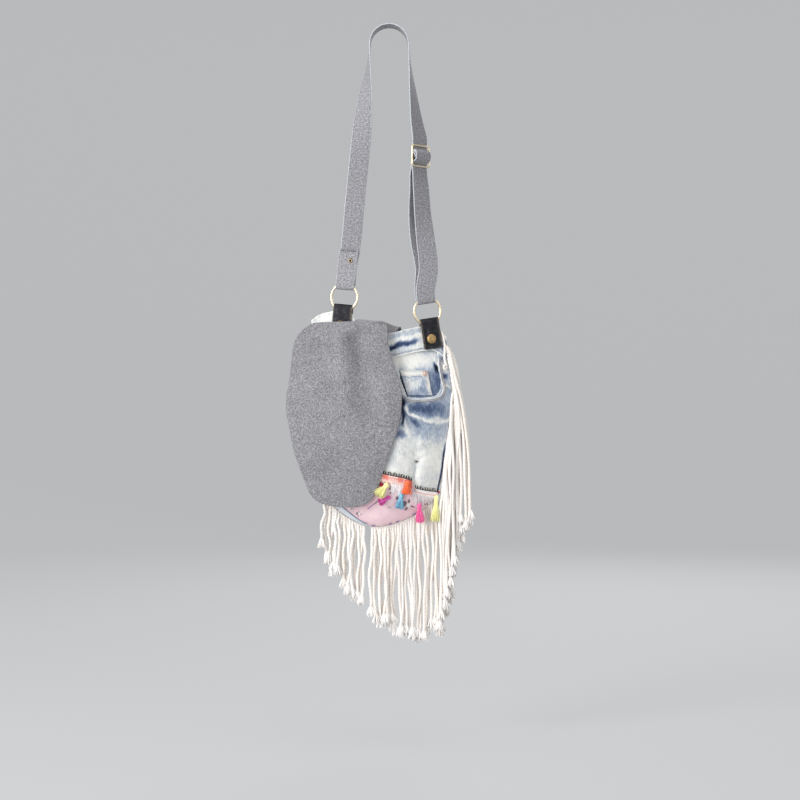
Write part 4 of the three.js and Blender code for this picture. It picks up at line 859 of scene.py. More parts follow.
# Trim under the two hems: black overlocked thread, then a scalloped lace
trim = dict(lift=0.9, laceHigh=5.8, pitch=2.7, stepsPerLoop=16, whitePitch=3.9, whiteThread=0.62,
            whiteProud=0.9, ribbonThick=1.1, scallop=6.2, scallopDeep=1.8, ruffle=0.6, dotPitch=4.1, slack=5,
            columnsPerMm=3)
trimRuns = {"left": (-24, 36, 13.5, 0.6), "right": (42, 79, 11, 0.44)}  # start, end, depth and black thread
for side, (start, end, deep, blackRadius) in trimRuns.items():
    # overlock: one thread swings unevenly between the hem and 5 mm above it, and one runs along the hem
    x = np.linspace(start, end, int((end - start) / trim["pitch"]) * trim["stepsPerLoop"])
    swing = np.abs(np.mod(x / trim["pitch"], 1) * 2 - 1) ** 1.3
    top = trim["laceHigh"] - 0.6 + 0.7 * np.sin(x * 0.9)
    threads = []
    for level, proud in ((lerp(0.2, top, swing), 0.45), (0.5 + 0.3 * np.sin(x * 2.1), 0.7)):
        path = onFront(x + 0.5 * np.sin(x * 1.7), hem(x) + level, trim["lift"] + proud)
        threads.append(threadMesh(path, blackRadius, 6))
    whiteX = np.arange(start + 1.5, end - 1, trim["whitePitch"])
    whiteLift = trim["lift"] + trim["whiteProud"]
    foot = onFront(whiteX, hem(whiteX) + 0.4, whiteLift)
    head = onFront(whiteX + 1.1, hem(whiteX) + trim["laceHigh"] - 1.2, whiteLift)
    loops = stitchRow(foot, head, frontOut(whiteX, hem(whiteX)), trim["whiteThread"])
    addPiece("overlockLoops_" + side, loops, seamThread)
    lace = joinMeshes(*threads)
    addPiece("lace_" + side, lace, blackThread, True,
             values=dict(shade=draw.uniform(-0.15, 0.15, len(lace[0]))))

    # lace: its lower edge and its ruffle follow the scallops, and its inks are bands, dots and soft blooms
    ribbon = dict(columns=int((end - start) * trim["columnsPerMm"]), rows=30, edges=(0.012, 0.05),
                  flat=(deep * millimetre, (end - start + trim["slack"]) * millimetre))
    across, t, thick = softGrid(ribbon)
    x = lerp(start, end, across)
    edge = deep - trim["scallopDeep"] * (1 - np.abs(np.sin(np.pi * x / trim["scallop"])))
    ruffle = trim["ruffle"] * np.sin(2 * np.pi * x / trim["scallop"] + 0.6 * np.sin(x / 3)) * t
    middle = onFront(x, hem(x) - lerp(2 * pouch["gap"], edge, t),
                     trim["lift"] + trim["ribbonThick"] / 2 + np.abs(ruffle))
    zigzag = np.abs(np.mod(x / trim["dotPitch"], 1) * 2 - 1)
    dotReach = np.hypot(np.mod(x, trim["dotPitch"]) - trim["dotPitch"] / 2, (t - 0.8) * deep)
    dots = smooth(1.2 - dotReach, 0, 0.7)
    if side == "left":
        coral = smooth(0.12 - np.abs(t - 0.16 - 0.22 * zigzag), 0, 0.08)
        coral = np.maximum(coral, 0.75 * smooth(0.06 - np.abs(t - 0.56), 0, 0.04))
        coral = np.maximum(np.maximum(coral, 0.6 * dots), smooth(x, 20, 32))
        patch = smooth(np.cos(2 * np.pi * (x + 5) / 23), 0, 0.8) * smooth(0.8 - t, 0, 0.3)
        coral = np.maximum(coral, 0.8 * patch * (1 - 0.6 * dots))
        values = dict(coral=coral * 0.92, crimson=smooth(-19 - x, 0, 4) * smooth(t, 0.3, 0.6))
    else:
        coral = smooth(0.1 - np.abs(t - 0.5 - 0.08 * zigzag), 0, 0.07)
        values = dict(coral=np.maximum(coral, 0.25 * dots) * 0.85)
    cloth, slot = (coralLace, "coral_ribbon") if side == "left" else (whiteLace, "white_ribbon")
    clothPiece("ribbon_" + side, middle, thick * trim["ribbonThick"] / 2, cloth,
               values)

# Loose lace ends under both trims, shorter far right, each arched a little off the cloth
laceEnds = dict(count=240, thread=0.5, sides=5, steps=6, long=(7, 21), sway=4, left=(4, 24), right=(38, 76),
                between=35, underLeft=11.5, underRight=9, shortFrom=58, shortBy=0.5, lift=0.5,
                arch=(0.2, 1.6), shade=0.2)
half = laceEnds["count"] // 2
begin = np.r_[draw.uniform(*laceEnds["left"], half), draw.uniform(*laceEnds["right"], half)][:, None]
under = np.where(begin < laceEnds["between"], laceEnds["underLeft"], laceEnds["underRight"])
share = np.linspace(0, 1, laceEnds["steps"])
long = draw.uniform(*laceEnds["long"], laceEnds["count"])[:, None]
long = long * np.where(begin > laceEnds["shortFrom"], laceEnds["shortBy"], 1)
sway = draw.uniform(-laceEnds["sway"], laceEnds["sway"], laceEnds["count"])[:, None]
arch = draw.uniform(*laceEnds["arch"], laceEnds["count"])[:, None]
path = onFront(begin + sway * share ** 1.5, hem(begin) - under - long * share,
               laceEnds["lift"] + arch * np.sin(np.pi * share))
shade = np.repeat(draw.uniform(-laceEnds["shade"], laceEnds["shade"], laceEnds["count"]),
                  laceEnds["steps"] * laceEnds["sides"])
addPiece("laceEnds", threadMesh(path, laceEnds["thread"], laceEnds["sides"]), lilacThread,
         values=dict(shade=shade))

# A dark red knot near each outer end of the trim
knot = dict(rows=9, columns=12, lift=1.8, places=[(-12, -254, 3.2), (80, -268, 2.2)])  # x, z and radius
turn = circle(knot["columns"])
high = np.sin(np.linspace(-np.pi / 2, np.pi / 2, knot["rows"]))[:, None]
wide = np.sqrt(np.clip(1 - high ** 2, 1e-4, 1))
ball = pointsAt(np.cos(turn) * wide, np.sin(turn) * wide, high).reshape(-1, 3)
balls = [(ball * radius + onFront(x, z, knot["lift"]), tubeFaces(knot["rows"], knot["columns"]))
         for x, z, radius in knot["places"]]
addPiece("trimKnots", joinMeshes(*balls), crimsonThread)
print("base and trim made")

# Small tassels: where each hangs, how it leans across and forward, and its size
tasselRows = table("x z proud lean tip long wide", (-2, -252, 2, 38, 18, 27, 7.5),
                   (2, -273, 1.9, 62, 10, 21, 5.5), (27.5, -248, 5, 4, 0, 21, 7),
                   (20, -267, 2.1, 10, 0, 26, 6), (48, -285, 1.25, -2, 8, 31, 6.5),
                   (75, -272, 3.7, 4, 8, 42, 6))
tassel = dict(strands=120, steps=9, thread=0.42, sides=5, flat=0.62, inside=0.94, begin=0.1, twist=0.25,
              fill=0.1, reach=(0.86, 1.03), stray=1.7, strayFlat=0.4, tipThin=0.6, shade=0.16, headRows=26,
              headSides=20, headEnd=0.34, wound=0.04, ridge=0.06, headShade=0.05)
skirt = table("along radius", (0, 0.25), (0.08, 0.6), (0.2, 0.55), (0.3, 0.42), (0.5, 0.72), (0.8, 0.95),
              (1, 1))
skirtRadius = curveOf(skirt, "along", "radius")


def turnAbout(axis, angle):  # the matrix of a turn about x, y or z
    cos, sin = np.cos(angle), np.sin(angle)
    first, second = [(1, 2), (2, 0), (0, 1)][axis]
    matrix = np.eye(3)
    matrix[first, first] = matrix[second, second] = cos
    matrix[first, second], matrix[second, first] = -sin, sin
    return matrix


for colour, (x, z, proud, lean, tip, long, wide) in zip(tasselThreads, rowsOf(tasselRows)):
    matrix = turnAbout(1, np.radians(lean)) @ turnAbout(0, np.radians(-tip))
    origin = onFront(x, z, proud)
    # threads: from the head down the skirt's outline, each at its own angle and share of the radius
    count, steps = tassel["strands"], tassel["steps"]
    along = np.linspace(tassel["begin"], 1, steps)
    angle = draw.uniform(0, 2 * np.pi, count)[:, None]
    angle = angle + draw.uniform(-tassel["twist"], tassel["twist"], count)[:, None] * along
    share = np.sqrt(draw.uniform(tassel["fill"], 1, count))[:, None]
    reach = along * draw.uniform(*tassel["reach"], count)[:, None]
    radius = skirtRadius(reach) * wide * share * tassel["inside"]
    stray = tassel["stray"] * draw.normal(0, 1, (2, count, 1)) * along ** 2  # loose ends part from the skirt
    local = pointsAt(radius * np.cos(angle) + stray[0],
                     tassel["flat"] * radius * np.sin(angle) + tassel["strayFlat"] * stray[1], -reach * long)
    taper = np.r_[np.ones(steps - 1), tassel["tipThin"]][:, None, None]
    strands = threadMesh(placed(local, matrix, origin), tassel["thread"], tassel["sides"], taper)
    strandShade = np.repeat(draw.uniform(-tassel["shade"], tassel["shade"], count), steps * tassel["sides"])
    # head: the bound top, ridged where the thread is wound round it
    level = np.linspace(0, tassel["headEnd"], tassel["headRows"])[:, None]
    ridge = 1 + tassel["ridge"] * np.cos(level * 2 * np.pi / tassel["wound"])
    radius, turn = skirtRadius(level) * wide * ridge, circle(tassel["headSides"])
    local = pointsAt(radius * np.cos(turn), radius * (tassel["flat"] * np.sin(turn)),
                     -level * long).reshape(-1, 3)
    head = placed(local, matrix, origin), tubeFaces(tassel["headRows"], tassel["headSides"])
    slot = {"lemon": "yellow"}.get(colour, colour) + "_thread"
    addPiece("tassel_" + colour, joinMeshes(strands, head), tasselThreads[colour], True,
             values=dict(shade=np.r_[strandShade, np.full(len(local), tassel["headShade"])]))

# Felt flap: from its seam on the back over the mouth, each row bent between its edges and its middle
flap = dict(columns=90, rows=190, edges=(0.008, 0.003), neckRows=8, wave=0.9, droop=20, droopStep=4.7,
            droopWide=1.9, sag=6, sagStep=6.3, sagWide=2, waveLong=23, waveFrom=(20, 80), driftOver=90,
            reliefTop=(-6, 24), reliefLow=(-190, -40), flat=(0.188, 0.39), area=0.05)
flapRelief = table("fromX toX wide high", (-83, -71, 17, -9), (-50, -37, 16, 7), (-8, -2, 16, -2.5))
flapRows = table(
    "step z left right yLeft yMiddle yRight",
    *[(step, *row) for step, row in enumerate([
        (-27, -30, 20, 21.7, 22.1, 21.7), (-6, -30, 20, 20.4, 20.8, 20.4), (2, -31, 19, 19.5, 19.5, 19.5),
        (7, -34, 16, 13, 13, 13), (9.5, -39, 11, 2, 2, 2), (10.5, -45, 5, -11, -11, -11),
        (10.5, -50, -1, -23, -23.5, -24), (8.5, -56, -4, -28, -29.5, -30), (5, -121, -4, -20, -29, -32),
        (-2, -134, -2, -19, -29.5, -33), (-12, -145, -2, -19, -30.5, -33.5), (-28, -153, -1, -19, -32, -34.5),
        (-52, -157, 5, -19, -35, -37), (-82, -160, 14, -20, -38.5, -41), (-110, -165, 21, -20, -41, -44),
        (-134, -166, 20, -20, -42, -45.5), (-162, -161, 15, -20, -42.5, -46),
        (-198, -154, 3, -21, -42, -45.5), (-230, -143, -8, -22, -40.5, -44),
        (-254, -134, -17, -23, -38, -41.5), (-271, -126, -24, -24, -36, -39),
        (-281, -116, -31, -26, -35, -38), (-287, -102, -42, -29, -34.5, -36.5),
        (-290, -82, -58, -32, -34, -35),
    ])],
)
s, t, thick = softGrid(flap)
step = t * flapRows["step"][-1]
row = {key: curveOf(flapRows, "step", key)(step) for key in flapRows if key != "step"}
x = lerp(row["left"], row["right"], s)
middleLift = row["yMiddle"] - (row["yLeft"] + row["yRight"]) / 2
onApron = smooth(step, flap["neckRows"] - 1, flap["neckRows"])
# a hollow between two swells, each a bell curve across the flap whose middle drifts right on the way down
relief = sum(high * bell(x - lerp(fromX, toX, -row["z"] / flap["driftOver"]), wide)
             for fromX, toX, wide, high in rowsOf(flapRelief))
relief = relief * smooth(-row["z"], *flap["reliefTop"]) * smooth(row["z"], *flap["reliefLow"])
wave = flap["wave"] * np.sin(row["z"] / flap["waveLong"] + 2 * s) * np.abs(2 * s - 1) ** 3
wave = wave * smooth(-row["z"], *flap["waveFrom"])
y = lerp(row["yLeft"], row["yRight"], s) + middleLift * 4 * s * (1 - s) + (relief + wave) * onApron
droop = flap["droop"] * bell(step - flap["droopStep"], flap["droopWide"]) * smooth(s, 0.5, 1)
sag = flap["sag"] * bell(step - flap["sagStep"], flap["sagWide"]) * smooth(s, -0.2, 0.8)
clothPiece("flap", pointsAt(x, y, row["z"] - droop - sag) + pouch["shift"], thick * pouch["felt"] / 2,
           feltGrey, side=None)
neckStitch = dict(start=-26, end=15, pitch=4, long=2.8, inset=3.5, lift=1.1, radius=0.5)
starts = pointsAt(np.arange(neckStitch["start"], neckStitch["end"], neckStitch["pitch"]),
                  flapRows["yMiddle"][0] + neckStitch["lift"], flapRows["z"][0] + neckStitch["inset"])
addPiece("neckStitching", stitchesIn((np.eye(3), pouch["shift"]), starts, axisX * neckStitch["long"], axisY,
                                     neckStitch["radius"]), greyThread)
print("flap and tassels made")

# Rings, tabs and studs hang in one frame a side, whose origin is the ring's middle
ring = dict(radius=22, wire=1.9, drawn=2.1, play=1, steps=96, sides=16)
tab = dict(wide=29, drawn=31.5, aboveStud=30, belowStud=20.5, half=2.5, corner=4, crease=2.4, legSteps=40,
           stitchPitch=3.3, stitchLong=2.2, stitchRadius=0.5, stitchSunk=0.15, firstStitch=4,
           paleFrom=0.86, paleness=0.42, endRub=0.12, endLong=6)
stud = dict(radius=7.6, high=3, low=4, aside=-1.5)
studShape = np.array([(0.02, 0), (0.97, 0), (1, 0.1), (1, 0.25), (0.95, 0.4), (0.86, 0.45), (0.82, 0.42),
                      (0.78, 0.55), (0.6, 0.78), (0.35, 0.93), (0.15, 0.99), (0.02, 1)])
hangerRows = {"left": (-76, 6, 5.7), "right": (68, -16, -9)}  # place of the stud in the front view and lean
wireDrop = np.sqrt(ring["radius"] ** 2 - (tab["wide"] / 2) ** 2)
tabTop = -wireDrop + ring["wire"] + ring["play"] + pouch["leather"] / 2
studDrop = tabTop + pouch["leather"] / 2 - tab["aboveStud"]


def hangerFrame(side):  # turned to the front's own slope, then leant, with the stud on the cloth
    x, z, lean = hangerRows[side]
    across, down = frontPlace(x, z)
    ahead, behind = pouchPoint("front", across + 0.03, down), pouchPoint("front", across - 0.03, down)
    yaw = np.arctan2(ahead[1] - behind[1], ahead[0] - behind[0])
    matrix = turnAbout(2, yaw) @ turnAbout(1, np.radians(lean))
    return matrix, onFront(x, z, 0) - matrix @ (axisZ * studDrop)


def flatProfile(thick, creases, sides):
    # closed outline of a flat band of width 1: two lines with rounded ends, sunk a little at each crease
    share = np.sin(np.linspace(-np.pi / 2, np.pi / 2, sides))
    share = np.unique(np.r_[share, *[[c - 0.025, c, c + 0.025] for c in creases]].round(5))
    high = np.sqrt(np.clip(1 - np.abs(share) ** 24, 0, 1))
    for crease in creases:
        high = high - 0.22 * bell(share - crease, 0.018)
    upper = np.stack([share / 2, high * thick / 2], -1)
    return np.concatenate([upper, upper[-2:0:-1] * (1, -1)])


def widened(profile, width):  # the profile at each place of a path, as wide as it is there
    return profile * np.stack([width, np.ones(len(width))], -1)[:, None]


hangers = {side: hangerFrame(side) for side in hangerRows}
for side, (matrix, origin) in hangers.items():
    turn = circle(ring["steps"])
    hoop = pointsAt(np.cos(turn), 0.0, np.sin(turn))
    hoopMesh = sweep(placed(hoop * ring["radius"], matrix, origin), hoop @ matrix.T, matrix @ axisY,
                     roundProfile(ring["drawn"], ring["sides"]), closed=True)
    addPiece("ring_" + side, hoopMesh, paleGold, True)

    # tab: up the front, round the ring and down the back, with rounded lower corners
    layer = tab["half"] + pouch["leather"] / 2
    low, bend = studDrop - tab["belowStud"], tabTop - layer
    leg = np.linspace(low, bend, tab["legSteps"])
    arc = np.linspace(np.pi, 0, 20)[1:-1]
    local = np.concatenate([pointsAt(0, -layer, leg),
                            pointsAt(0, layer * np.cos(arc), bend + layer * np.sin(arc)),
                            pointsAt(0, layer, leg[::-1])])
    gone = lengthAlong(local)
    toEnd = np.minimum(gone, gone[-1] - gone)
    inCorner = np.clip(tab["corner"] - toEnd, 0, None)
    cut = tab["corner"] - np.sqrt(np.clip(tab["corner"] ** 2 - inCorner ** 2, 0, None))
    edgeShare = 1 - 2 * tab["crease"] / tab["drawn"]
    profile = flatProfile(pouch["leather"], (-edgeShare, edgeShare), 21)
    out = np.cross(axisX, unit(np.gradient(local, axis=0)))
    edge = np.maximum(smooth(np.abs(profile[:, 0]) * 2, tab["paleFrom"], 1) * tab["paleness"],
                      (smooth(tab["endLong"] - toEnd, 0, tab["endLong"]) * tab["endRub"])[:, None])
    tabMesh = sweep(placed(local, matrix, origin), matrix @ axisX, out @ matrix.T,
                    widened(profile, tab["drawn"] - 2 * cut))
    addPiece("tab_" + side, tabMesh, blackLeather, True, values=dict(edge=edge))
    level = np.arange(low + tab["firstStitch"], bend, tab["stitchPitch"])
    column = np.repeat([-tab["drawn"] / 2 + tab["crease"], tab["drawn"] / 2 - tab["crease"]], len(level))
    starts = pointsAt(column, -layer - pouch["leather"] / 2 + tab["stitchSunk"], np.tile(level, 2))
    addPiece("tabStitching_" + side, stitchesIn((matrix, origin), starts, axisZ * tab["stitchLong"], -axisY,
                                                tab["stitchRadius"]), leatherThread)

    seat = np.array([stud["aside"], -layer - pouch["leather"] / 2 - pouch["gap"], studDrop - stud["low"]])
    brass = shadedBrass if side == "left" else oldBrass  # the cap under the flap is a darker copy of the brass, painted shade for the flap's shadow
    cap = latheMesh(studShape * (stud["radius"], stud["high"]), matrix, matrix @ seat + origin)
    addPiece("stud_" + side, cap, brass, True)

# Copper rivet of the coin pocket, a cap with a raised point
rivet = dict(x=57.5, z=-76, radius=4.6, high=2.2)
rivetShape = np.array([(0.02, 0), (0.96, 0), (1, 0.12), (0.97, 0.35), (0.8, 0.5), (0.55, 0.45), (0.42, 0.5),
                       (0.3, 0.85), (0.15, 0.98), (0.02, 1)])
out = frontOut(rivet["x"], rivet["z"])
sideways = unit(np.cross(out, axisZ))
facingOut = np.stack([-sideways, -out, np.cross(sideways, -out)], -1)
addPiece("coin_rivet", latheMesh(rivetShape * (rivet["radius"], rivet["high"]), facingOut,
                                 onFront(rivet["x"], rivet["z"], coinPocket["hemProud"] + pouch["gap"])),
         dullCopper, True)
print("hardware made")

# Strap: one ribbon from its doubled left end, over the top, through the slider, round the right ring and back
strap = dict(wide=32, atRing=28, drawnAtRing=31, aboveRing=31.5, ringUp=26, ringEase=0.6, hangRadius=30,
             steps=720, foldSteps=6, topSteps=12, crease=0.8, sides=17, backShift=40, paleFrom=0.93, paleness=0.7)
layerStep = pouch["webbing"] / 2 + pouch["gap"] / 2
foldRadius = ring["wire"] + pouch["gap"] + pouch["webbing"] / 2
foldUp = np.sqrt(ring["radius"] ** 2 - (strap["atRing"] / 2) ** 2) - ring["play"]
doubledRows = [(77, layerStep, 32), (50, layerStep, 32), (36, layerStep + 0.4, 32), (25, foldRadius, 31.5)]
# each leg as height, place and turn about the upright
leftLeg = [(-366, -63.2, -3, -3), (-290, -55.8, -1, 0), (-205, -47.4, 0, 0), (-150, -42, 0, -22),
           (-100, -37, 0, -55), (-60, -33, 0, -80)]
rightLegHigh = [(-60, 33.5, 0, 85), (-110, 39, 0, 68), (-160, 45.5, 0, 50)]
rightLegLow = [(-262, 51.5, -1, 36), (-300, 54, -2, 32), (-345, 59, -3, 18), (-393, 63.5, -4, 13)]
returnLeg = [(-393, 57.5, 4, 15), (-345, 49, 10, 20), (-300, 45, 11, 32), (-262, 46, 8, 36)]
slider = dict(x=51, z=-210, turn=42, wide=40, high=36, rod=3, barPitch=16, corner=4, cornerSteps=9,
              barSteps=12, sides=12, barShare=0.9)
threading = dict(clear=26, over=5, enter=7, cut=3, ease=0.6, slack=5, wrapSteps=6)
sliderFrame = turnAbout(2, np.radians(slider["turn"])), np.array([slider["x"], 0, slider["z"]])


# a station is a point, the direction across the strap there and its width
def ringStation(side, off, up, wide):  # in a ring's own frame
    matrix, origin = hangers[side]
    sense = 1 if side == "left" else -1
    return [*placed(np.array([0, off, up]), matrix, origin), *(matrix[:, 0] * sense), wide]


def legStation(row, sense):
    z, x, y, turn = row
    return [x, y, z, sense * np.cos(np.radians(turn)), sense * np.sin(np.radians(turn)), 0, strap["wide"]]


def foldStations(side):  # half a turn round the ring's wire
    return [ringStation(side, -foldRadius * np.cos(a), foldUp - foldRadius * np.sin(a), strap["drawnAtRing"])
            for a in np.linspace(0, np.pi, strap["foldSteps"] + 1)]


def topStation(angle):  # round the top, about the hang point
    radius = strap["hangRadius"] + pouch["webbing"] / 2
    return [radius * np.cos(angle), 0, radius * np.sin(angle) - strap["hangRadius"], 0, -1, 0, strap["wide"]]


def sliderStation(off, up):  # in the slider's own frame
    matrix, origin = sliderFrame
    return [*placed(np.array([0, off, up]), matrix, origin), *(-matrix[:, 0]), strap["wide"]]


behindBar = slider["rod"] / 2 + pouch["gap"] + pouch["webbing"] / 2
wrapRadius = slider["rod"] * np.sqrt(0.5) + pouch["gap"] + pouch["webbing"] / 2
overWrap = wrapRadius + pouch["webbing"] + pouch["gap"]
behindBoth = behindBar + pouch["webbing"] + 2 * pouch["gap"]
barOuter, barInner = slider["barPitch"] + slider["rod"], slider["barPitch"] - slider["rod"]
stations = [
    *[ringStation("left", -off, up, wide) for up, off, wide in doubledRows],
    *foldStations("left"),
    *[ringStation("left", off, up, wide) for up, off, wide in doubledRows[:0:-1]],
    *[legStation(row, 1) for row in leftLeg],
    *[topStation(angle) for angle in np.linspace(np.pi, 0, strap["topSteps"] + 1)],
    *[legStation(row, -1) for row in rightLegHigh],
    sliderStation(behindBar - threading["ease"], threading["clear"]),
    sliderStation(behindBar, barOuter), sliderStation(behindBar, barInner),
    sliderStation(-overWrap, threading["over"]), sliderStation(-overWrap, -threading["over"]),
    sliderStation(behindBar, -barInner), sliderStation(behindBar, -barOuter),
    sliderStation(behindBar - threading["ease"], -threading["clear"]),
    *[legStation(row, -1) for row in rightLegLow],
    ringStation("right", -foldRadius, strap["ringUp"], strap["aboveRing"]),
    *foldStations("right"),
    ringStation("right", foldRadius + strap["ringEase"], strap["ringUp"], strap["aboveRing"]),
    *[legStation(row, -1) for row in returnLeg],
    sliderStation(behindBar + threading["slack"], -threading["clear"]),
    sliderStation(behindBoth, -barOuter), sliderStation(behindBoth, -barInner),
    sliderStation(wrapRadius + threading["ease"], -threading["enter"]),
    *[sliderStation(wrapRadius * np.cos(a), wrapRadius * np.sin(a))
      for a in np.linspace(0, np.pi, threading["wrapSteps"] + 1)],
    sliderStation(-wrapRadius, -threading["cut"]),
]
line = smoothPath(stations, strap["steps"])
path, width = line[:, :3], line[:, 6]
along = unit(np.gradient(path, axis=0))
out = unit(np.cross(along, line[:, 3:6]))
profile = flatProfile(pouch["webbing"], (-strap["crease"], strap["crease"]), strap["sides"])
gone = lengthAlong(path)
# the two faces lie apart in the pattern, so they differ
acrossFace = profile[:, 0] * strap["wide"] + np.sign(profile[:, 1]) * strap["backShift"]
uv = np.stack(np.broadcast_arrays(acrossFace, gone[:, None]), -1)
# painted highlight: a pale line along each folded edge of the strap
edge = smooth(np.abs(profile[:, 0]) * 2, strap["paleFrom"], 1) * strap["paleness"]
edge = np.broadcast_to(edge, uv.shape[:2])
strapMesh = sweep(path, np.cross(out, along), out, widened(profile, width))
addPiece("strap", strapMesh, strapWool, True, uv=uv.reshape(-1, 2), values=dict(edge=edge))
print("strap made, length", round(gone[-1]), "mm")

# Slider: a round wire frame with a middle bar
matrix, origin = sliderFrame
halfWide, halfHigh = slider["wide"] / 2 - slider["rod"] / 2, slider["high"] / 2 - slider["rod"] / 2
bendRadius = slider["corner"] - slider["rod"] / 4
corner = np.linspace(0, np.pi / 2, slider["cornerSteps"])
local = np.concatenate([
    pointsAt(sideX * (halfWide - bendRadius) + bendRadius * np.cos(corner + turn), 0.0,
             sideZ * (halfHigh - bendRadius) + bendRadius * np.sin(corner + turn))
    for sideX, sideZ, turn in ((1, 1, 0), (-1, 1, np.pi / 2), (-1, -1, np.pi), (1, -1, 1.5 * np.pi))
])
along = unit(np.roll(local, -1, axis=0) - np.roll(local, 1, axis=0))
wire = roundProfile(slider["rod"] / 2, slider["sides"])
frameMesh = sweep(placed(local, matrix, origin), np.cross(along, axisY) @ matrix.T, matrix @ axisY, wire,
                  closed=True)
bar = pointsAt(np.linspace(-halfWide, halfWide, slider["barSteps"]), 0.0, 0.0)
barMesh = sweep(placed(bar, matrix, origin), matrix @ axisY, axisZ, wire * slider["barShare"])
addPiece("strap_slider", joinMeshes(frameMesh, barMesh), paleGold, True)

# Eyelet in the doubled end with a black disc in its bore as painted shade, and the row of stitches that holds
# that end down
eyelet = dict(up=59, across=5, outer=3.7, bore=1.7, sides=32, holeSides=20, holeLow=-0.3, holeTop=0.25)
matrix, origin = hangers["left"]
front = -layerStep - pouch["webbing"] / 2
seat = np.array([eyelet["across"], front, eyelet["up"]])
outer, bore = eyelet["outer"], eyelet["bore"]
eyeletShape = np.array([(bore, 0), (outer, 0), (outer * 0.98, 0.35), (outer * 0.8, 0.95), (outer * 0.62, 1),
                        (bore * 1.1, 0.7), (bore, 0.3)])
holeShape = np.array([(0.05 * bore, eyelet["holeLow"]), (bore, eyelet["holeLow"]), (bore, eyelet["holeTop"]),
                      (0.05 * bore, eyelet["holeTop"])])
addPiece("strap_eyelet", latheMesh(eyeletShape, matrix, placed(seat - axisY * pouch["gap"], matrix, origin),
                                   eyelet["sides"], closed=True), darkBrass, True)
# a black disc in the eyelet's bore: painted shade for the hole
addPiece("eyeletHoleShade", latheMesh(holeShape, matrix, placed(seat, matrix, origin), eyelet["holeSides"]),
         blackThread)
strapStitch = dict(start=-13, end=13, pitch=3.4, long=2.3, radius=0.85, fromEnd=2.5)
starts = pointsAt(np.arange(strapStitch["start"], strapStitch["end"], strapStitch["pitch"]), front,
                  doubledRows[0][0] - strapStitch["fromEnd"])
addPiece("strapStitching", stitchesIn((matrix, origin), starts, axisX * strapStitch["long"], -axisY,
                                      strapStitch["radius"]), greyThread)

# Rope fringe: three-ply cords hung from the seam, each with a frayed end
fringe = dict(radius=2.7, lay=17, lobe=0.14, steps=110, sides=9, strands=52, thread=0.7, tuftLong=17,
              tuftWide=5.9, tuftInside=3, tuftSteps=5, tuftSides=4, tuftPaintedLight=0.25, headRadius=2.2,
              headSteps=260, headClear=0.8, middleClear=-0.5, tipShare=0.75, seamReach=0.01, tuftRoot=0.75,
              tuftFlat=0.8, tuftCurve=1.1, tuftReach=(0.7, 1.05), tuftFill=0.02, thick=(0.9, 1.08), shade=0.1)
cordPath = dict(leaveAt=0.12, fallAt=0.6, fallAcross=0.9, fallBow=0.2, wander=1.9, wanders=(0.7, 1.8),
                ripple=0.9, ripples=2.6, sway=1.2)
fringeEnds = table("x z", (-112, -342), (-101, -382), (-92, -404), (-80, -396), (-68, -434), (-54, -448),
                   (-38, -454), (-26, -476), (0, -486), (24, -500), (38, -508), (58, -501), (76, -490),
                   (84, -470))
fringeEnd = curveOf(fringeEnds, "x", "z")


def besideSeam(run, place, clear):
    # the seam's own line moved out by the head's radius and clearance, square to it
    def line(at):
        if run == "bottom":
            return np.stack([lerp(seamLeft(1), seamRight(1), at), bottomSeam(at)], -1)
        seam, end = (seamRight, 1) if run == "right" else (seamLeft, 0)
        return np.stack([seam(at), lerp(rim["front"](end), bottomSeam(end), at)], -1)

    reach = fringe["seamReach"]
    along = unit(line(np.minimum(place + reach, 1)) - line(np.maximum(place - reach, 0)))
    outward = np.stack([-along[:, 1], along[:, 0]], -1) * (1 if run == "right" else -1)
    x, z = (line(place) + outward * (fringe["headRadius"] + clear)).T
    return pointsAt(x, 0.0, z)


def ropeMesh(path, radius):
    # three lobes round the cord, turned along its length by the lay of the rope
    angle = circle(fringe["sides"])
    lobe = radius[:, None, None] * (1 - fringe["lobe"] + fringe["lobe"] * np.cos(3 * angle))
    turned = angle + (lengthAlong(path) * 2 * np.pi / fringe["lay"])[..., None]
    return sweep(path, *sideFrames(path), np.stack([lobe * np.cos(turned), lobe * np.sin(turned)], -1))


def tuftMesh(path, radius):
    # strands that leave the last stretch of each cord and spread like a brush
    shape = len(path), fringe["strands"]
    end, back = path[:, -1], unit(path[:, -1] - path[:, -6])
    across, out = (side[:, -2][:, None, None] for side in sideFrames(path))
    share = np.linspace(0, 1, fringe["tuftSteps"])
    turn = draw.uniform(0, 2 * np.pi, shape)[..., None]
    spread = np.sqrt(draw.uniform(fringe["tuftFill"], 1, shape))[..., None]
    long = fringe["tuftLong"] * draw.uniform(*fringe["tuftReach"], shape)[..., None]
    flare = radius[:, None, None] * fringe["tuftRoot"] * spread
    flare = flare + fringe["tuftWide"] * spread * share ** fringe["tuftCurve"]
    aside, ahead = flare * np.cos(turn), fringe["tuftFlat"] * flare * np.sin(turn)
    offset = across * aside[..., None] + out * ahead[..., None]
    gone = (long * share - fringe["tuftInside"])[..., None]
    strand = end[:, None, None] + back[:, None, None] * gone + offset
    taper = np.array([1, 1, 0.98, 0.88, 0.5])[:, None, None]
    return threadMesh(strand.reshape(-1, fringe["tuftSteps"], 3), fringe["thread"], fringe["tuftSides"],
                      taper)


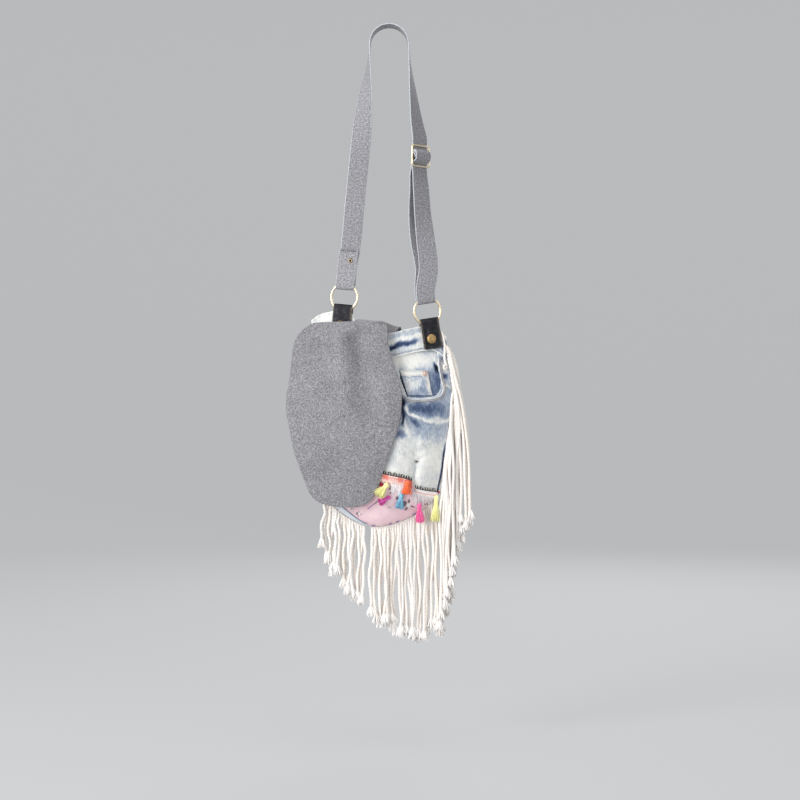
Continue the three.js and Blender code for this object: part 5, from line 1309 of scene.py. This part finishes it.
def fringePiece(name, start, end, bow, headLine, leaveAt=cordPath["leaveAt"]):
    # each cord is a cubic from the seam, out by its bow and down to its end, with a slow wander
    count, steps = len(start), fringe["steps"]
    t = np.linspace(0, 1, steps)[:, None]
    leave = pointsAt(start[:, 0] + bow, end[:, 1], lerp(start[:, 2], end[:, 2], leaveAt))
    fall = pointsAt(lerp(start[:, 0], end[:, 0], cordPath["fallAcross"]) + bow * cordPath["fallBow"],
                    end[:, 1], lerp(start[:, 2], end[:, 2], cordPath["fallAt"]))
    corners = [start, leave, fall, end]
    weights = [(1 - t) ** 3, 3 * t * (1 - t) ** 2, 3 * t ** 2 * (1 - t), t ** 3]
    path = sum(corner[:, None] * weight for corner, weight in zip(corners, weights))
    phase = draw.uniform(0, 2 * np.pi, (count, 4))[:, :, None]
    rate = draw.uniform(*cordPath["wanders"], (count, 2))[:, :, None]
    share, turns = t[:, 0], 2 * np.pi * t[:, 0]
    path[..., 0] += cordPath["wander"] * smooth(share, 0, 0.5) * np.sin(turns * rate[:, 0] + phase[:, 0])
    ripple = np.sin(turns * cordPath["ripples"] + phase[:, 1])
    path[..., 0] += cordPath["ripple"] * smooth(share, 0, 0.3) * ripple
    path[..., 1] += cordPath["sway"] * share * np.sin(turns * rate[:, 1] + phase[:, 2])
    path = path + pouch["shift"]
    radius = fringe["radius"] * draw.uniform(*fringe["thick"], count)
    headPath = (smoothPath(headLine, fringe["headSteps"]) + pouch["shift"])[None]
    mesh = joinMeshes(ropeMesh(path, radius), tuftMesh(path, radius),
                      ropeMesh(headPath, np.array([fringe["headRadius"]])))
    own = draw.uniform(-fringe["shade"], fringe["shade"], count)
    tuftPoints = fringe["strands"] * fringe["tuftSteps"] * fringe["tuftSides"]
    # the tufts are painted paler than their cords: painted light that makes up for the shade among their
    # dense strands
    shade = np.r_[np.repeat(own, steps * fringe["sides"]), np.repeat(own + fringe["tuftPaintedLight"], tuftPoints),
                  np.zeros(fringe["headSteps"] * fringe["sides"])]
    addPiece(name, mesh, creamRope, True, values=dict(shade=shade))


def tipsAt(x, z, deep):
    # ends of the cords, in front, behind and between in turn, short of z by part of the tuft
    stagger = np.resize([-deep, deep * 0.9, 0.1, deep, -deep * 0.8], len(x))
    return pointsAt(x, stagger, z + fringe["tuftLong"] * fringe["tipShare"])


rightCords = dict(count=28, start=0.06, end=0.95, crowd=1.45, bowTop=27, bowLow=4, deep=4,
                  overTop=(-6, -8.5, 0), leaveTop=0.03, overlaps=7, overStart=0.36, overEnd=0.78,
                  overAcross=-1, overDeep=-10.5, overBow=-8, overTipX=(106, 84), overTipZ=(-372, -478),
                  headKnots=13, wobble=(2, 8))
rightTips = table("step x z", (0, 133, -317), (1, 126, -318), (2, 118, -328), (3, 114, -350), (4, 107, -368),
                  (5, 104, -389), (6, 103, -413), (7, 98, -434), (8, 93, -455), (9, 86, -492), (10, 81, -496))
count, overlaps, clear = rightCords["count"], rightCords["overlaps"], fringe["headClear"]
t = np.linspace(0, 1, count)
begin = besideSeam("right", lerp(rightCords["start"], rightCords["end"], t ** rightCords["crowd"]), clear)
begin = begin + (1 - t[:, None]) ** 3 * np.array(rightCords["overTop"])
wobble = draw.uniform(-1, 1, (count, 2)) * rightCords["wobble"]
step = t * rightTips["step"][-1]
tip = tipsAt(curveOf(rightTips, "step", "x")(step) + wobble[:, 0],
             curveOf(rightTips, "step", "z")(step) + wobble[:, 1], rightCords["deep"])
# a few cords lie over the edge of the denim instead of beside it
over = besideSeam("right", np.linspace(rightCords["overStart"], rightCords["overEnd"], overlaps), clear)
over = over + (rightCords["overAcross"], rightCords["overDeep"] * 0.2, 0)
overTip = pointsAt(np.linspace(*rightCords["overTipX"], overlaps) + draw.uniform(-2, 2, overlaps),
                   rightCords["overDeep"], np.linspace(*rightCords["overTipZ"], overlaps))
spread = draw.uniform(0.4, 1.05, count)
bow = np.r_[lerp(rightCords["bowTop"], rightCords["bowLow"], t) * spread,
            np.full(overlaps, rightCords["overBow"])]
leaveAt = np.r_[lerp(rightCords["leaveTop"], cordPath["leaveAt"], t), np.full(overlaps, cordPath["leaveAt"])]
headPlace = np.linspace(rightCords["start"], rightCords["end"], rightCords["headKnots"])
fringePiece("fringe_right", np.concatenate([begin, over]), np.concatenate([tip, overTip]), bow,
            besideSeam("right", headPlace, clear), leaveAt)

middleCords = dict(count=26, start=0.985, end=0.42, deep=4, headKnots=13, wobble=(3, 9))
place = lerp(middleCords["start"], middleCords["end"], np.linspace(0, 1, middleCords["count"]))
begin = besideSeam("bottom", place, fringe["middleClear"])
wobble = draw.uniform(-1, 1, (middleCords["count"], 2)) * middleCords["wobble"]
tip = tipsAt(begin[:, 0] + wobble[:, 0], fringeEnd(begin[:, 0]) + wobble[:, 1], middleCords["deep"])
headPlace = np.linspace(middleCords["start"], middleCords["end"], middleCords["headKnots"])
fringePiece("fringe_middle", begin, tip, 0, besideSeam("bottom", headPlace, fringe["middleClear"]))

leftCords = dict(count=15, start=0.35, corner=0.015, sideEnd=0.93, bow=-1, drift=-6, deep=4, wobble=(2.5, 7))
begin = besideSeam("bottom", np.linspace(leftCords["start"], leftCords["corner"], leftCords["count"]), clear)
wobble = draw.uniform(-1, 1, (leftCords["count"], 2)) * leftCords["wobble"]
tipX = begin[:, 0] + leftCords["drift"] * np.linspace(0, 1, leftCords["count"]) ** 2 + wobble[:, 0]
tip = tipsAt(tipX, fringeEnd(tipX) + wobble[:, 1], leftCords["deep"])
headLine = np.concatenate([besideSeam("bottom", np.linspace(leftCords["start"], 0.012, 10), clear),
                           besideSeam("left", np.linspace(0.988, leftCords["sideEnd"], 7), clear)])
fringePiece("fringe_left", begin, tip, leftCords["bow"], headLine)

# Cord stitched along the top of the right seam, ending in a small loop that stands off the cloth
seamCord = dict(radius=2.1, lift=1.8, loopLift=1.5, steps=110, loopFrom=88)
cordRoute = [(84, -7), (88, -20), (89.5, -38), (89.5, -54), (92, -65), (90, -70), (87.5, -67), (89, -62)]
route = smoothPath(cordRoute, seamCord["steps"])
loopShare = smooth(np.arange(seamCord["steps"]), seamCord["loopFrom"], seamCord["steps"])
path = onFront(*route.T, seamCord["lift"] + seamCord["loopLift"] * loopShare)[None]
addPiece("seamCord", ropeMesh(path, np.array([seamCord["radius"]])), creamRope)
print("fringe made")

# Stage: a pale floor that curves up far away on every side, soft lights and the camera
stage = dict(floor=-1.16, flat=3.4, curve=2.2, wall=0.6, tone="#767676", glow=0.45, flatRows=8, sides=72)
bend = np.linspace(0, np.pi / 2, 16)[1:]
reach = np.r_[np.linspace(0.001, stage["flat"], stage["flatRows"]),
              stage["flat"] + stage["curve"] * np.sin(bend), stage["flat"] + stage["curve"]][:, None]
height = np.r_[np.zeros(stage["flatRows"]), stage["curve"] * (1 - np.cos(bend)),
               stage["curve"] + stage["wall"]]
turn = circle(stage["sides"])
bowl = pointsAt(reach * np.cos(turn), reach * np.sin(turn), height[:, None] + stage["floor"]).reshape(-1, 3)
floorMesh = bpy.data.meshes.new("floor")
floorMesh.from_pydata(bowl, [], gridFaces(len(reach), stage["sides"], True)[:, ::-1].tolist())
floorMesh.polygons.foreach_set("use_smooth", np.ones(len(floorMesh.polygons), bool))
floorMesh.materials.append(newMaterial("litPaper", {
    "Roughness": 0.9, "Base Color": toLinear(stage["tone"]), "Emission Color": toLinear("#eef0f2"),
    "Emission Strength": stage["glow"], "Specular IOR Level": 0.1})[0])
floor = bpy.data.objects.new("floor", floorMesh)
bpy.context.scene.collection.objects.link(floor)

world = bpy.data.worlds.new("softDaylight")
world.use_nodes = True
setSockets(world.node_tree, world.node_tree.nodes["Background"],
           {"Color": toLinear("#eef1f5"), "Strength": 0.34})
bpy.context.scene.world = world
lightRows = {  # place, size, watts
    "key": ((-2.1, -1.6, 0.6), 1.1, 62), "fill": ((1.9, -1.9, 0.1), 2.0, 15),
    "back": ((0.8, 2.4, 0.8), 2.0, 40), "top": ((0.2, -0.2, 1.9), 1.4, 20),
    "low": ((-1.5, -2.1, -0.5), 0.9, 22),
}
middlePoint = np.array([0, 0, -0.6])
for name, (place, size, watts) in lightRows.items():
    light = bpy.data.lights.new(name, "AREA")
    light.size, light.energy = size, watts
    lamp = bpy.data.objects.new(name, light)
    lamp.location = place
    lamp.rotation_euler = Vector(middlePoint - np.array(place)).to_track_quat("-Z", "Y").to_euler()
    bpy.context.scene.collection.objects.link(lamp)

# 800 px show 1.28 m at the front
view = dict(x=0.0176, z=-0.6048, nearFace=-0.03, wide=1.28, away=2.6, sensor=36)
cameraData = bpy.data.cameras.new("camera")
cameraData.sensor_width = view["sensor"]
cameraData.lens = view["sensor"] * view["away"] / view["wide"]
camera = bpy.data.objects.new("camera", cameraData)
camera.location = (view["x"], view["nearFace"] - view["away"], view["z"])
camera.rotation_euler = (np.pi / 2, 0, 0)
bpy.context.scene.collection.objects.link(camera)
bpy.context.scene.camera = camera
bpy.context.scene.view_settings.view_transform = "Standard"
print("stage made")
